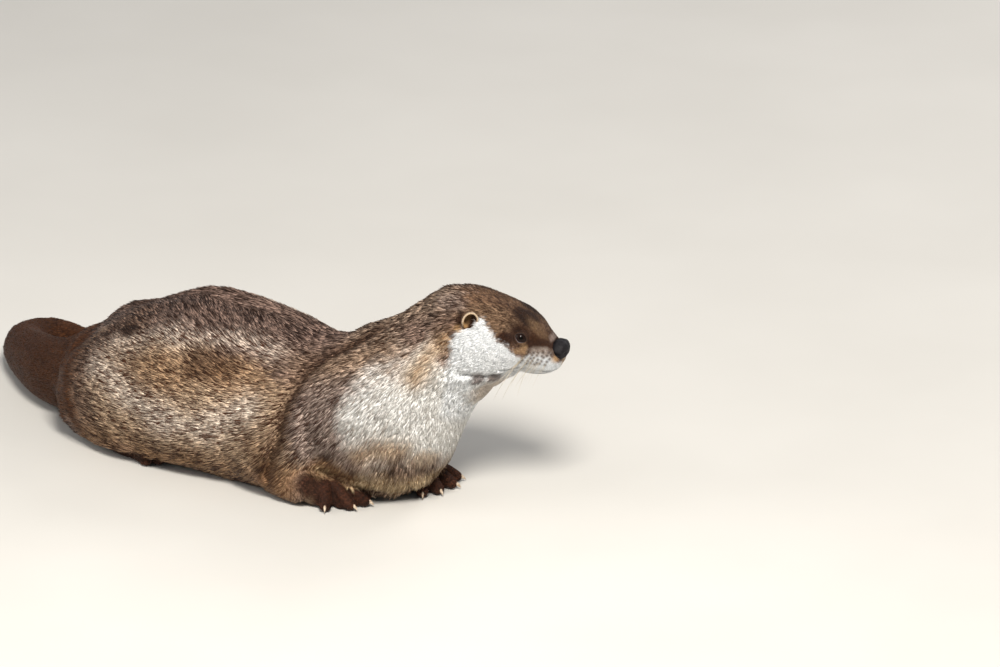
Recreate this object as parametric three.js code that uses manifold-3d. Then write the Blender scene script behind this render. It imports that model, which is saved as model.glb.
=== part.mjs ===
// A North American river otter at life size, lying on its belly with its forepaws in front, its
// head raised and turned a little to its left, and its tail curled round behind its left flank.
//
// Millimetres. +X runs forward along the trunk, +Y to the animal's left, +Z up, and the floor is
// z = 0. The shape is a field of named masses, as a sculptor builds a body up from lumps of clay.
// A lathed tube is laid along each spine and its skin is moved out to the surface of that field.
// The outline is that of the coat, out to the tips of the fur.

import * as THREE from 'three';
import { mergeVertices } from 'three/addons/utils/BufferGeometryUtils.js';
import Module from 'manifold-3d';

const wasm = await Module();
wasm.setup();

// ---------------------------------------------------------------- driving dimensions

const GAP = 0.3; // clear space between two neighbouring solids
const WELL = 0.6; // clear space round a foot
const FLOOR = 0; // level that the belly, feet and tail rest on

// Middle line of the body from the tip of the tail to the base of the neck.
const SPINE = {
  tailTip: [-172, 138, 5],
  tailInner: [-222, 142, 8],
  tailCurl: [-272, 150, 11],
  tailBend: [-314, 145, 15],
  tailOuter: [-312, 101, 18],
  tailMiddle: [-256, 54, 25],
  tailThick: [-198, 24, 35],
  tailRoot: [-150, 16, 50],
  hips: [-96, 14, 66],
  loin: [-14, 16, 74],
  ribs: [62, 11, 76],
  shoulders: [128, 10, 80],
  neck: [198, 24, 106],
};
const TAIL_RADIUS = { tip: 6, root: 40, taper: 1.35 };

// Masses of the body: centre, half sizes, and where one is turned, its yaw and pitch in degrees.
const MASSES = {
  rump: [[-98, 14, 58], [66, 74, 76]],
  loins: [[-14, 12, 65], [116, 97, 88]],
  ribcage: [[62, 8, 66], [84, 81, 77]],
  shoulders: [[116, 8, 72], [58, 66, 66], [6, 15]],
  breast: [[176, 18, 72], [66, 66, 72], [14, 25]],
};
const NECK = { from: [172, 16, 86], to: [248, 41, 153], base: 65, top: 47 };
const HAUNCH = { centre: [-86, 14, 46], out: 50, half: [58, 33, 50], yaw: 8 };
const HOCK = { top: 62, low: 19, high: 22 };
const UPPER_ARM = { lift: 26, shoulder: 30, elbow: 24 };
const FILLET = { body: 30, neck: 18, skull: 10, foot: 7, nose: 5 };

// Head: the point midway between the ears, how the skull is turned, and where its features sit,
// given as [forward, left, up] from that point.
const HEAD = {
  centre: [263, 45, 182],
  yaw: 20.5,
  pitch: -13,
  roll: 2.5,
  nape: [-12, 0, -38],
  eye: [44.2, 21.5, 1.6],
  ear: { right: [-4.5, 29.6, 10.8], left: [-6, 30, 6.5] },
  nose: [79, 0, -6.3],
};
// Masses of the head, as [forward, left, up] and half sizes; those with a side come in pairs.
const SKULL = {
  cranium: [[-2, 0, -7], [48, 34, 33]],
  cheek: [[13, 21, -17], [36, 22, 24]],
  brow: [[27, 0, 4], [32, 24, 20]],
  face: [[41, 0, -6], [30, 24, 22]],
  lip: [[63, 9, -17], [22, 15, 13.5]],
  bridge: [[60, 0, -10], [19, 12, 9]],
};
const CHIN = { from: [16, 0, -28], to: [62, 0, -26], throat: 20, front: 11 };
const MUZZLE_LINE = [[16, 0, -24], [36, 0, -17], [60, 0, -15]]; // the spine goes on through the head
const NOSE = { half: [8, 10, 9.6], wing: [7, 6, 7], spread: 6, back: 1, drop: 2 };
const EYE_RADIUS = 7.5;
const EAR = { rim: 8, depth: 7.5, wall: 1.8, forward: 0.42, up: { right: 0.12, left: 0.9 } };
const MOUTH = { corner: [36, -28], middle: [56, -26], front: [90, -22], block: 80 };

// Feet: the wrist or heel, the middle of the sole, and where each toe ends, on the floor plan.
const FOREPAWS = {
  right: {
    elbow: [100, -44, 30],
    wrist: [132, -54, 22],
    sole: [147, -41],
    toes: [[156, -53], [171, -42], [177, -29], [171, -18], [157, -15]],
  },
  left: {
    elbow: [110, 72, 30],
    wrist: [170, 62, 22],
    sole: [192, 51],
    toes: [[195, 32], [209, 28], [215, 40], [216, 56], [211, 69]],
  },
};
const PAW = { height: 11, half: [21, 19, 12], wrist: 15, toeRoot: 8, toeEnd: 6, knuckle: 0.4 };
const HIND_FEET = {
  right: {
    heel: [-140, -28, 30],
    ball: [-78, -40, 9],
    toes: [[-46, -58], [-38, -50], [-34, -40], [-37, -29], [-47, -20]],
  },
  left: {
    heel: [-140, 62, 30],
    ball: [-74, 85, 9],
    toes: [[-42, 68], [-32, 78], [-27, 89], [-27, 101], [-36, 111]],
  },
};
const HIND_FOOT = {
  step: 17,
  heelRadius: 18,
  ballRadius: 15,
  toeRoot: 8,
  toeEnd: 6,
  knuckle: 0.2,
  web: [20, 24, 8],
};
const THIGH = { centre: [-92, 14, 44], out: 78, half: [50, 34, 46], yaw: 8, pitch: 10 };
const FOREARM = { elbow: 24, wrist: 15 };
const SOLE = 1; // how far each pad is pressed flat
const CLAW = { length: 9, root: 2.3, tip: 0.7, height: 6.5 };

const FINISHES = {
  tail: { color: 0x4a3426, roughness: 0.85 },
  rump: { color: 0x6b5442, roughness: 0.85 },
  loin: { color: 0x6f5846, roughness: 0.85 },
  trunk: { color: 0x6f5846, roughness: 0.85 },
  thigh: { color: 0x77604c, roughness: 0.85 },
  chest: { color: 0x9a8369, roughness: 0.85 },
  neck: { color: 0xa8927a, roughness: 0.85 },
  head: { color: 0x6a4d37, roughness: 0.85 },
  jaw: { color: 0xe0d6c4, roughness: 0.85 },
  ear: { color: 0x8a6240, roughness: 0.8 },
  eye: { color: 0x1a0f0a, roughness: 0.08 },
  nose: { color: 0x1c1a1b, roughness: 0.5 },
  foreleg: { color: 0x6a5442, roughness: 0.85 },
  forepaw: { color: 0x3b2a20, roughness: 0.8 },
  hind_foot: { color: 0x3b2a20, roughness: 0.8 },
  claw: { color: 0xcbb79a, roughness: 0.4 },
};

// ---------------------------------------------------------------- small helpers

const SIDES = { right: -1, left: 1 };
const radians = THREE.MathUtils.degToRad;
const vector = (values) => new THREE.Vector3(...values);

/** Placing matrix for a yaw about Z, then a pitch with the nose up, then a roll, in degrees. */
function pose(centre, [yaw = 0, pitch = 0, roll = 0] = []) {
  const turn = new THREE.Euler(radians(roll), radians(-pitch), radians(yaw), 'ZYX');
  return new THREE.Matrix4().makeRotationFromEuler(turn).setPosition(...centre);
}

const headPose = pose(HEAD.centre, [HEAD.yaw, HEAD.pitch, HEAD.roll]);

/** A place on the head, from its forward, left and up distances. */
const onHead = (forward, left, up) => new THREE.Vector3(forward, left, up).applyMatrix4(headPose);

// ---------------------------------------------------------------- fields

/** An ellipsoid of flesh: below zero inside, and roughly millimetres from its surface. */
function mass(centre, half, turn) {
  return posed(pose(centre, turn), half);
}

/** The same on the head, in the head's own forward, left and up. */
function headMass(centre, half, turn) {
  return posed(headPose.clone().multiply(pose(centre, turn)), half);
}

function posed(placing, [a, b, c]) {
  const e = placing.clone().invert().elements;
  return ({ x, y, z }) => {
    const u = (e[0] * x + e[4] * y + e[8] * z + e[12]) / a;
    const v = (e[1] * x + e[5] * y + e[9] * z + e[13]) / b;
    const w = (e[2] * x + e[6] * y + e[10] * z + e[14]) / c;
    const near = Math.hypot(u, v, w);
    return near === 0 ? -Math.min(a, b, c) : (near * (near - 1)) / Math.hypot(u / a, v / b, w / c);
  };
}

/** A tapered limb from one point to another. */
function limb(start, end, startRadius, endRadius) {
  const [from, to] = [vector(start), vector(end)];
  const run = to.clone().sub(from);
  const offset = new THREE.Vector3();
  return (point) => {
    const along = THREE.MathUtils.clamp(offset.copy(point).sub(from).dot(run) / run.lengthSq(), 0, 1);
    offset.copy(point).sub(from).addScaledVector(run, -along);
    const radius = THREE.MathUtils.lerp(startRadius, endRadius, along);
    return offset.length() - radius;
  };
}

/** Joins fields with fillets about `soft` wide. */
function blend(soft, ...fields) {
  return (point) => {
    let near = fields[0](point);
    for (const field of fields.slice(1)) {
      const next = field(point);
      const overlap = Math.max(soft - Math.abs(near - next), 0) / soft;
      near = Math.min(near, next) - (overlap * overlap * soft) / 4;
    }
    return near;
  };
}

/** A string of limbs along a curve, its radius given by the share of its length. */
function chain(curve, radiusAt, links) {
  const shares = Array.from({ length: links }, (_, i) => [i / links, (i + 1) / links]);
  const limbs = shares.map(([near, far]) => {
    const ends = [near, far].map((share) => curve.getPointAt(share).toArray());
    return limb(...ends, radiusAt(near), radiusAt(far));
  });
  return (point) => Math.min(...limbs.map((link) => link(point)));
}

/** Cuts a field off at the floor. */
const standing = (field) => (point) => Math.max(field(point), FLOOR - point.z);

/** The well that a foot stands in: its shape moved out, and carried straight down to the floor. */
const well = (field, height) => ({ x, y, z }) =>
  Math.max(field({ x, y, z: Math.max(z, height) }) - WELL, FLOOR - WELL - z);

/** The same field with its surface moved out all round. */
const grown = (field, by = GAP) => (point) => field(point) - by;

// ---------------------------------------------------------------- skin over a field

/** A closed tube of radius 1 along Y from -0.5 to 0.5, each end either flat or a dome. */
function tube(sides, rows, { startDome = 0, endDome = 0, spread = (t) => t } = {}) {
  const outline = [];
  const arc = (rings, middle, sign) => {
    for (let ring = 0; ring <= rings; ring += 1) {
      const angle = (ring / rings) * (Math.PI / 2);
      const radius = ring === rings ? 0 : Math.cos(angle);
      outline.push(new THREE.Vector2(radius, middle + sign * Math.sin(angle)));
    }
  };
  if (startDome) arc(startDome, -0.5, -1);
  else outline.push(new THREE.Vector2(1, -0.5), new THREE.Vector2(0, -0.5));
  outline.reverse();
  for (let row = 1; row < rows; row += 1) outline.push(new THREE.Vector2(1, spread(row / rows) - 0.5));
  if (endDome) arc(endDome, 0.5, 1);
  else outline.push(new THREE.Vector2(1, 0.5), new THREE.Vector2(0, 0.5));
  return new THREE.LatheGeometry(outline, sides);
}

/** The geometry's shared vertices merged, and triangles of no area dropped. */
function welded(geometry) {
  const bare = geometry.clone();
  bare.deleteAttribute('normal');
  bare.deleteAttribute('uv');
  const merged = mergeVertices(bare, 1e-5);
  const corners = merged.index.array;
  const kept = [];
  for (let i = 0; i < corners.length; i += 3) {
    const [a, b, c] = [corners[i], corners[i + 1], corners[i + 2]];
    if (a !== b && b !== c && c !== a) kept.push(a, b, c);
  }
  merged.setIndex(kept);
  return merged;
}

/** A spine as a curve, with the forward, right and up directions at any share of its length. */
class Spine {
  constructor(points, { reach = 0, up = [0, 0, 1] } = {}) {
    const knots = points.map((point) => (point.isVector3 ? point : vector(point)));
    this.curve = new THREE.CatmullRomCurve3(knots, false, 'centripetal');
    this.curve.arcLengthDivisions = 600;
    this.length = this.curve.getLength();
    this.reach = reach / this.length; // directions are taken over this stretch, so rings never cross
    this.up = vector(up);
  }

  /** The share of the whole length at which the curve passes closest to a point. */
  nearest(point) {
    const steps = 600;
    const target = vector(point);
    let best = [Infinity, 0];
    for (let step = 0; step <= steps; step += 1) {
      const distance = this.curve.getPointAt(step / steps).distanceTo(target);
      if (distance < best[0]) best = [distance, step / steps];
    }
    return best[1];
  }

  at(share) {
    const origin = this.curve.getPointAt(share);
    const ahead = this.curve.getPointAt(Math.min(share + this.reach + 1e-3, 1));
    const behind = this.curve.getPointAt(Math.max(share - this.reach - 1e-3, 0));
    const forward = ahead.sub(behind).normalize();
    const right = forward.clone().cross(this.up).normalize();
    return { origin, forward, right, up: right.clone().cross(forward) };
  }
}

const MARCH = { steps: 90, reach: 260, close: 0.004 };

/** How far along a direction the field's surface lies from a point inside it. */
function wayOut(field, origin, direction) {
  let travelled = 0;
  const point = new THREE.Vector3();
  for (let step = 0; step < MARCH.steps; step += 1) {
    point.copy(origin).addScaledVector(direction, travelled);
    const depth = -field(point);
    if (depth < MARCH.close || travelled > MARCH.reach) break;
    travelled += depth * 0.9;
  }
  return travelled;
}

/** Lays a tube along part of a spine and moves its skin out to the field's surface. */
function drape(unit, spine, from, to, field) {
  const geometry = welded(unit);
  const places = geometry.attributes.position;
  for (let i = 0; i < places.count; i += 1) {
    const [x, y, z] = [places.getX(i), places.getY(i), places.getZ(i)];
    const along = THREE.MathUtils.clamp(y, -0.5, 0.5);
    const { origin, forward, right, up } = spine.at(THREE.MathUtils.lerp(from, to, along + 0.5));
    const direction = right.multiplyScalar(x).addScaledVector(up, z).addScaledVector(forward, y - along);
    if (direction.length() > 0.01) {
      direction.normalize();
      origin.addScaledVector(direction, wayOut(field, origin, direction));
    }
    places.setXYZ(i, origin.x, origin.y, origin.z);
  }
  return solid(geometry);
}

/** A manifold-3d solid from a geometry whose vertices are already merged. */
function solid(geometry) {
  const mesh = new wasm.Mesh({
    numProp: 3,
    vertProperties: new Float32Array(geometry.attributes.position.array),
    triVerts: new Uint32Array(geometry.index.array),
  });
  return new wasm.Manifold(mesh);
}

/** A ball, or an egg, placed by a matrix. */
function ball(placing, half, around = 14, down = 7) {
  const geometry = welded(new THREE.SphereGeometry(1, around, down).scale(...half));
  return solid(geometry.applyMatrix4(placing));
}

// ---------------------------------------------------------------- masses of the body

const { tip, root, taper } = TAIL_RADIUS;
const tailCurve = new Spine(Object.values(SPINE).slice(0, 8)).curve;
const tail = chain(tailCurve, (share) => tip + (root - tip) * share ** taper, 24);

const { rump, loins, ribcage, shoulders, breast } = MASSES;
const torso = [rump, loins, ribcage, shoulders, breast].map((values) => mass(...values));
const neckBulk = limb(NECK.from, NECK.to, NECK.base, NECK.top);
const haunches = Object.values(SIDES).map((sign) => {
  const [x, y, z] = HAUNCH.centre;
  return mass([x, y + sign * HAUNCH.out, z], HAUNCH.half, [sign * HAUNCH.yaw]);
});
const hocks = Object.values(HIND_FEET).map(({ heel }) =>
  limb(heel, [heel[0] + 6, heel[1], HOCK.top], HOCK.low, HOCK.high));
const upperArms = Object.values(FOREPAWS).map(({ elbow: [x, y, z] }) =>
  limb([x - 4, y + Math.sign(y) * 2, z + UPPER_ARM.lift], [x, y + Math.sign(y) * 6, z],
    UPPER_ARM.shoulder, UPPER_ARM.elbow));
const trunk = blend(FILLET.body, tail, ...torso, neckBulk, ...haunches, ...hocks, ...upperArms);

const pair = ([[forward, left, up], half]) =>
  Object.values(SIDES).map((sign) => headMass([forward, sign * left, up], half));
const chin = limb(onHead(...CHIN.from).toArray(), onHead(...CHIN.to).toArray(), CHIN.throat, CHIN.front);
const skull = blend(FILLET.skull, headMass(...SKULL.cranium), ...pair(SKULL.cheek),
  headMass(...SKULL.brow), headMass(...SKULL.face), ...pair(SKULL.lip), headMass(...SKULL.bridge), chin);

const body = standing(blend(FILLET.neck, trunk, skull));

// ---------------------------------------------------------------- the body, parted along its spine

const nape = onHead(...HEAD.nape).toArray();
const axis = new Spine(
  [...Object.values(SPINE), nape, ...MUZZLE_LINE.map((place) => onHead(...place))],
  { reach: 34 },
);

/** One stretch of the body between two points of its middle line, clear of the next by the gap. */
function stretch(from, to, unit, gap = GAP) {
  const trim = gap / 2 / axis.length;
  return drape(unit, axis, axis.nearest(from) + trim, to ? axis.nearest(to) - trim : 1, body);
}

const AROUND = 20; // sides of the trunk's rings
const solids = {
  tail_tip: stretch(SPINE.tailTip, SPINE.tailCurl, tube(8, 5, { startDome: 2 })),
  tail_curl: stretch(SPINE.tailCurl, SPINE.tailBend, tube(10, 3), 2 * GAP),
  tail_bend: stretch(SPINE.tailBend, SPINE.tailOuter, tube(10, 3), 2 * GAP),
  tail_middle: stretch(SPINE.tailOuter, SPINE.tailMiddle, tube(12, 4)),
  tail_thick: stretch(SPINE.tailMiddle, SPINE.tailThick, tube(14, 4)),
  tail_root: stretch(SPINE.tailThick, SPINE.tailRoot, tube(16, 3)),
  rump: stretch(SPINE.tailRoot, SPINE.hips, tube(AROUND, 4)),
  loin: stretch(SPINE.hips, SPINE.loin, tube(AROUND, 4)),
  trunk: stretch(SPINE.loin, SPINE.ribs, tube(AROUND, 4)),
  chest: stretch(SPINE.ribs, SPINE.neck, tube(AROUND, 8)),
  neck: stretch(SPINE.neck, nape, tube(AROUND, 5), 2 * GAP),
  head: stretch(nape, null, tube(24, 10, { endDome: 4 })),
};

// ---------------------------------------------------------------- feet and claws

/** Toes from the middle of the sole to their ends, on the floor. */
function toesOf(middle, ends, { toeRoot, toeEnd, knuckle: share }) {
  return ends.map((end) => {
    const run = vector([...end, 0]).sub(vector([...middle, 0]));
    const knuckle = vector([...middle, 0]).addScaledVector(run, share);
    const from = [knuckle.x, knuckle.y, toeRoot - SOLE];
    return { from, to: [...end, toeEnd - SOLE], run: run.normalize() };
  });
}

/** A claw that curves down from just past the end of a toe to near the floor. */
function claw({ to, run }, toeEnd, finish, start) {
  const { length, root: thick, tip: point, height } = CLAW;
  const at = (ahead, z) => [to[0] + run.x * (toeEnd + ahead), to[1] + run.y * (toeEnd + ahead), z];
  const spine = new Spine([at(start, height), at(length * 0.5, height - 0.8), at(length, thick)]);
  const shape = chain(spine.curve, (share) => THREE.MathUtils.lerp(thick, point, share), 3);
  return drape(tube(4, 2, { endDome: 1 }), spine, 0, 1, finish(shape, thick));
}

const feet = {};
const claws = {};

/** Builds a foot, its claws, and the solid that its neighbours are cut back by. */
function addFoot(name, { sole, toes: ends, sizes }) {
  const toes = toesOf(sole.middle, ends, sizes);
  const build = (finish) => {
    const rounded = tube(10, 3, { startDome: 2, endDome: 2 });
    const pad = drape(rounded, sole.spine, 0, 1, finish(sole.field, sole.height));
    const digits = toes.map(({ from, to }) => {
      const digit = finish(limb(from, to, sizes.toeRoot, sizes.toeEnd), to[2]);
      return drape(tube(6, 1, { endDome: 2 }), new Spine([from, to]), 0, 1, digit);
    });
    return [pad, ...digits];
  };
  const clawsOf = (finish, start) => toes.map((toe) => claw(toe, sizes.toeEnd, finish, start));
  clawsOf(standing, 2 * GAP).forEach((shape, index) => {
    claws[`claw_${name}_${index + 1}`] = shape;
  });
  const joined = (shapes) => shapes.reduce((whole, shape) => whole.add(shape));
  feet[name] = { shape: joined(build(standing)), cut: joined([...build(well), ...clawsOf(well, GAP)]) };
}

for (const [side, { elbow, wrist, sole, toes }] of Object.entries(FOREPAWS)) {
  const yaw = THREE.MathUtils.radToDeg(Math.atan2(sole[1] - wrist[1], sole[0] - wrist[0]));
  const back = mass([...sole, PAW.height], PAW.half, [yaw]);
  const wristBone = limb(wrist, [...sole, PAW.height], PAW.wrist, PAW.height + SOLE);
  addFoot(`forepaw_${side}`, {
    sole: {
      middle: sole,
      height: PAW.height,
      field: blend(FILLET.foot, back, wristBone),
      spine: new Spine([[...wrist.slice(0, 2), 16], [...sole, PAW.height]]),
    },
    toes,
    sizes: PAW,
  });
}
for (const [side, { heel, ball: pad, toes }] of Object.entries(HIND_FEET)) {
  const { step, heelRadius, ballRadius, web } = HIND_FOOT;
  const start = [heel[0] + step, heel[1], heelRadius - SOLE];
  const mean = (index) => toes.reduce((sum, toe) => sum + toe[index], 0) / toes.length;
  const middle = [(pad[0] + mean(0)) / 2, (pad[1] + mean(1)) / 2, web[2] / 2];
  addFoot(`hind_foot_${side}`, {
    sole: {
      middle: pad.slice(0, 2),
      height: pad[2],
      field: blend(FILLET.foot, limb(start, pad, heelRadius, ballRadius), mass(middle, web)),
      spine: new Spine([[start[0], start[1], pad[2]], middle]),
    },
    toes,
    sizes: HIND_FOOT,
  });
}

// ---------------------------------------------------------------- legs, parted from the body

/** Where a solid stands in the way of others, they give way to it by the gap. */
function clear(cut, ...hosts) {
  for (const host of hosts) solids[host] = solids[host].subtract(cut);
}

const hindquarters = stretch(SPINE.tailRoot, SPINE.loin, tube(AROUND, 7), 2 * GAP);
for (const [side, sign] of Object.entries(SIDES)) {
  const [x, y, z] = THIGH.centre;
  const placing = pose([x, y + sign * THIGH.out, z], [sign * THIGH.yaw, THIGH.pitch]);
  const thigh = (extra) => ball(placing, THIGH.half.map((half) => half + extra));
  const foot = feet[`hind_foot_${side}`];
  clear(thigh(GAP), 'rump', 'loin');
  clear(foot.cut, 'tail_root', 'rump', 'loin');
  solids[`thigh_${side}`] = hindquarters.intersect(thigh(0)).subtract(foot.cut);

  const { elbow, wrist } = FOREPAWS[side];
  const ends = [
    [elbow[0], elbow[1], FOREARM.elbow - SOLE],
    [wrist[0], wrist[1], FOREARM.wrist - SOLE],
  ];
  const forearm = (finish) => {
    const field = finish(limb(...ends, FOREARM.elbow, FOREARM.wrist), FOREARM.wrist);
    return drape(tube(10, 2, { startDome: 2, endDome: 2 }), new Spine(ends), 0, 1, field);
  };
  const paw = feet[`forepaw_${side}`];
  clear(forearm(well), 'chest');
  clear(paw.cut, 'chest');
  solids[`foreleg_${side}`] = forearm(standing).subtract(paw.cut);
}

// ---------------------------------------------------------------- face

const [noseAhead, , noseUp] = HEAD.nose;
const wings = Object.values(SIDES).map((sign) =>
  headMass([noseAhead - NOSE.back, sign * NOSE.spread, noseUp - NOSE.drop], NOSE.wing));
const noseShape = blend(FILLET.nose, headMass(HEAD.nose, NOSE.half), ...wings);
const noseSpine = new Spine([-4, 3].map((step) => onHead(noseAhead + step, 0, noseUp)));
const nose = (extra) =>
  drape(tube(12, 1, { startDome: 3, endDome: 3 }), noseSpine, 0, 1, grown(noseShape, extra));
clear(nose(GAP), 'head');
solids.nose = nose(0);

/** Everything of the head below the line of the mouth, as a block seen from the side. */
function jawBlock(extra) {
  const { corner, middle, front, block } = MOUTH;
  const side = new THREE.Shape();
  side.moveTo(corner[0] - extra, -block);
  side.lineTo(corner[0] - extra, corner[1] + extra);
  side.quadraticCurveTo(middle[0], middle[1] + extra, front[0], front[1] + extra);
  side.lineTo(front[0] + block, front[1] + extra);
  side.lineTo(front[0] + block, -block);
  const wide = new THREE.ExtrudeGeometry(side, { depth: 2 * block, bevelEnabled: false, curveSegments: 3 });
  wide.translate(0, 0, -block).rotateX(Math.PI / 2);
  return solid(welded(wide).applyMatrix4(headPose));
}
solids.jaw = solids.head.intersect(jawBlock(0));
clear(jawBlock(GAP), 'head');

const wholeHead = drape(tube(24, 10, { endDome: 4 }), axis, axis.nearest(nape), 1, grown(body));

/** An ear as a shallow bowl with a thin wall, its mouth turned out and a little forward. */
function earBowl(side, sign) {
  const { rim, depth, wall, forward, up } = EAR;
  const opening = new THREE.Vector3(forward, sign, up[side]).normalize();
  const turn = new THREE.Quaternion().setFromUnitVectors(new THREE.Vector3(0, 1, 0), opening);
  const [ahead, out, high] = HEAD.ear[side];
  const place = new THREE.Matrix4().compose(vector([ahead, sign * out, high]), turn, vector([1, 1, 1]));
  const outside = [[0, 0], [0.75, 0.12], [1, 1]];
  const inside = [[1, 1], [0.7, 0.2], [0, 0]];
  const profile = [
    ...outside.map(([r, h]) => new THREE.Vector2(r * rim, h * depth)),
    ...inside.map(([r, h]) => new THREE.Vector2(r * (rim - wall), wall + h * (depth - wall))),
  ];
  const bowl = welded(new THREE.LatheGeometry(profile, 12));
  return solid(bowl.applyMatrix4(headPose.clone().multiply(place)));
}

for (const [side, sign] of Object.entries(SIDES)) {
  const [ahead, out, high] = HEAD.eye;
  const socket = headPose.clone().multiply(pose([ahead, sign * out, high]));
  const eyeball = (extra) => ball(socket, Array(3).fill(EYE_RADIUS + extra), 12, 6);
  clear(eyeball(GAP), 'head');
  solids[`eye_${side}`] = eyeball(0);
  solids[`ear_${side}`] = earBowl(side, sign).subtract(wholeHead);
}

// ---------------------------------------------------------------- the finished otter

const group = new THREE.Group();

/** Hangs a solid in the group as a named mesh with its own material. */
function add(name, shape, { color, roughness }) {
  const { vertProperties, triVerts } = shape.getMesh();
  const geometry = new THREE.BufferGeometry();
  geometry.setAttribute('position', new THREE.BufferAttribute(vertProperties, 3));
  geometry.setIndex(new THREE.BufferAttribute(triVerts, 1));
  geometry.computeVertexNormals();
  const material = new THREE.MeshStandardMaterial({ color, roughness, metalness: 0 });
  const mesh = new THREE.Mesh(geometry, material);
  mesh.name = name;
  group.add(mesh);
}

/** The colour of a node, by the longest key of the palette that its name starts with. */
function finishOf(name) {
  const keys = Object.keys(FINISHES).filter((key) => name.startsWith(key));
  return FINISHES[keys.sort((a, b) => b.length - a.length)[0]];
}

for (const [name, shape] of Object.entries(solids)) add(name, shape, finishOf(name));
for (const [name, { shape }] of Object.entries(feet)) add(name, shape, finishOf(name));
for (const [name, shape] of Object.entries(claws)) add(name, shape, finishOf(name));

// The origin is on the floor under the middle of the otter's bounding box.
const bounds = new THREE.Box3().setFromObject(group);
const middle = bounds.getCenter(new THREE.Vector3());
group.position.set(-middle.x, -middle.y, FLOOR - bounds.min.z);

export default group;
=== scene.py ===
"""A North American river otter at life size, lying on its belly with its head raised.

The solids of the frame give the otter's outline, out to the tips of its coat. This script grows
one skin inside them, sculpts the face on it, and covers it with tufts that follow the lie of the
coat. The eyes, the nose pad and the claws are pieces of their own.

Lengths are in metres in the frame's own axes: +X forward along the trunk, +Y to the animal's
left, +Z up, floor at z = 0. Names that end in _mm hold millimetres. Head coordinates are
(forward, left, up) in millimetres from the point midway between the ears.
"""

import logging
import math
from collections.abc import Iterator
from contextlib import contextmanager
from dataclasses import dataclass
from enum import Enum

import bmesh
import bpy
import numpy as np
from bpy.types import Material, Mesh, NodeSocket, Object
from mathutils import Euler, Matrix, Vector
from mathutils.bvhtree import BVHTree

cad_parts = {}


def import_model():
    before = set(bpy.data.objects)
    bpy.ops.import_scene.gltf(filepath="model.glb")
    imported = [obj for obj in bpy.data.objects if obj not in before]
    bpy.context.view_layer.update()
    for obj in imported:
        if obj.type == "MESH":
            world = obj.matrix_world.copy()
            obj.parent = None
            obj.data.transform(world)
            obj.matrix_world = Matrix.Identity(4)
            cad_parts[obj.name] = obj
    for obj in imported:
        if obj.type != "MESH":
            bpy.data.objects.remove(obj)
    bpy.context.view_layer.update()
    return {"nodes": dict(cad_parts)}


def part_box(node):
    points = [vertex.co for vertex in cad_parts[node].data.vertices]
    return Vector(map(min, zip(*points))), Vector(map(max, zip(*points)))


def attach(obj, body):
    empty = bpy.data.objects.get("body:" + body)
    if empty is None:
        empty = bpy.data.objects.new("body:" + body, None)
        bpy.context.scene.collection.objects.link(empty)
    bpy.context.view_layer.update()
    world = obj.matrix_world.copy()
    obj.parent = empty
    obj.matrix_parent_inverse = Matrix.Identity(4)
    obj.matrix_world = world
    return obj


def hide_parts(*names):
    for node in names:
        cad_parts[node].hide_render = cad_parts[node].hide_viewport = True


log = logging.getLogger("otter")

Array = np.ndarray

MM = 0.001
BODY = "root"
UV_NAME = "OFBake"
SIDES = {"right": -1.0, "left": 1.0}
TOES = range(1, 6)


# ---- arithmetic on meshes


def smoothstep(low: float, high: float, value: Array) -> Array:
    """Returns 0 below low, 1 above high and a smooth rise between them."""
    share = np.clip((value - low) / (high - low), 0.0, 1.0)
    return share * share * (3.0 - 2.0 * share)


def hump(away: Array, half: float) -> Array:
    """Returns 1 at no distance and about a third at half."""
    return np.exp(-((away / half) ** 2))


def bell(points: Array, centre: tuple, half: tuple) -> Array:
    """Returns 1 at the centre and about a third at half away from it, along each axis."""
    away = (points - np.array(centre)) / np.array(half)
    return np.exp(-(away * away).sum(-1))


def unit(vectors: Array) -> Array:
    """Returns each vector at a length of one."""
    return vectors / np.maximum(np.linalg.norm(vectors, axis=-1, keepdims=True), 1e-12)


def folded(local: Array) -> Array:
    """Returns head coordinates with the right side mirrored onto the left."""
    return np.stack([local[:, 0], np.abs(local[:, 1]), local[:, 2]], 1)


def ripple(points: Array, wave_mm: float, seed: int) -> Array:
    """Makes a smooth irregular field by adding plane waves.

    Args:
        points: Places in metres.
        wave_mm: Typical wavelength.
        seed: Fixes the directions and phases.

    Returns:
        A value of about -1 to 1 for each point.
    """
    draw = np.random.default_rng(seed)
    total = np.zeros(len(points))
    waves = 7
    for _ in range(waves):
        direction = unit(draw.normal(size=3)) * 2.0 * math.pi / (wave_mm * MM * draw.uniform(0.6, 1.6))
        total += np.sin(points @ direction + draw.uniform(0.0, 2.0 * math.pi))
    return total / math.sqrt(waves)


def hex_colour(text: str) -> Array:
    """Returns the linear RGB of a colour written as six hexadecimal digits."""
    value = np.array([int(text[i : i + 2], 16) for i in (0, 2, 4)]) / 255.0
    return np.where(value <= 0.04045, value / 12.92, ((value + 0.055) / 1.055) ** 2.4)


def rows_of(items: bpy.types.bpy_prop_collection, name: str, width: int, kind: type) -> Array:
    """Reads one property of a mesh's vertices or edges.

    Args:
        items: The vertices or edges.
        name: The property.
        width: How many numbers it has.
        kind: Their type.

    Returns:
        One row for each item.
    """
    flat = np.empty(len(items) * width, kind)
    items.foreach_get(name, flat)
    return flat.reshape(-1, width)


def points_of(mesh: Mesh) -> Array:
    """Returns a mesh's vertices, one row each."""
    return rows_of(mesh.vertices, "co", 3, float)


def normals_of(mesh: Mesh) -> Array:
    """Returns a mesh's vertex normals, one row each."""
    return rows_of(mesh.vertices, "normal", 3, float)


def edges_of(mesh: Mesh) -> Array:
    """Returns a mesh's edges as pairs of vertex numbers."""
    return rows_of(mesh.edges, "vertices", 2, np.int32)


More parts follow.
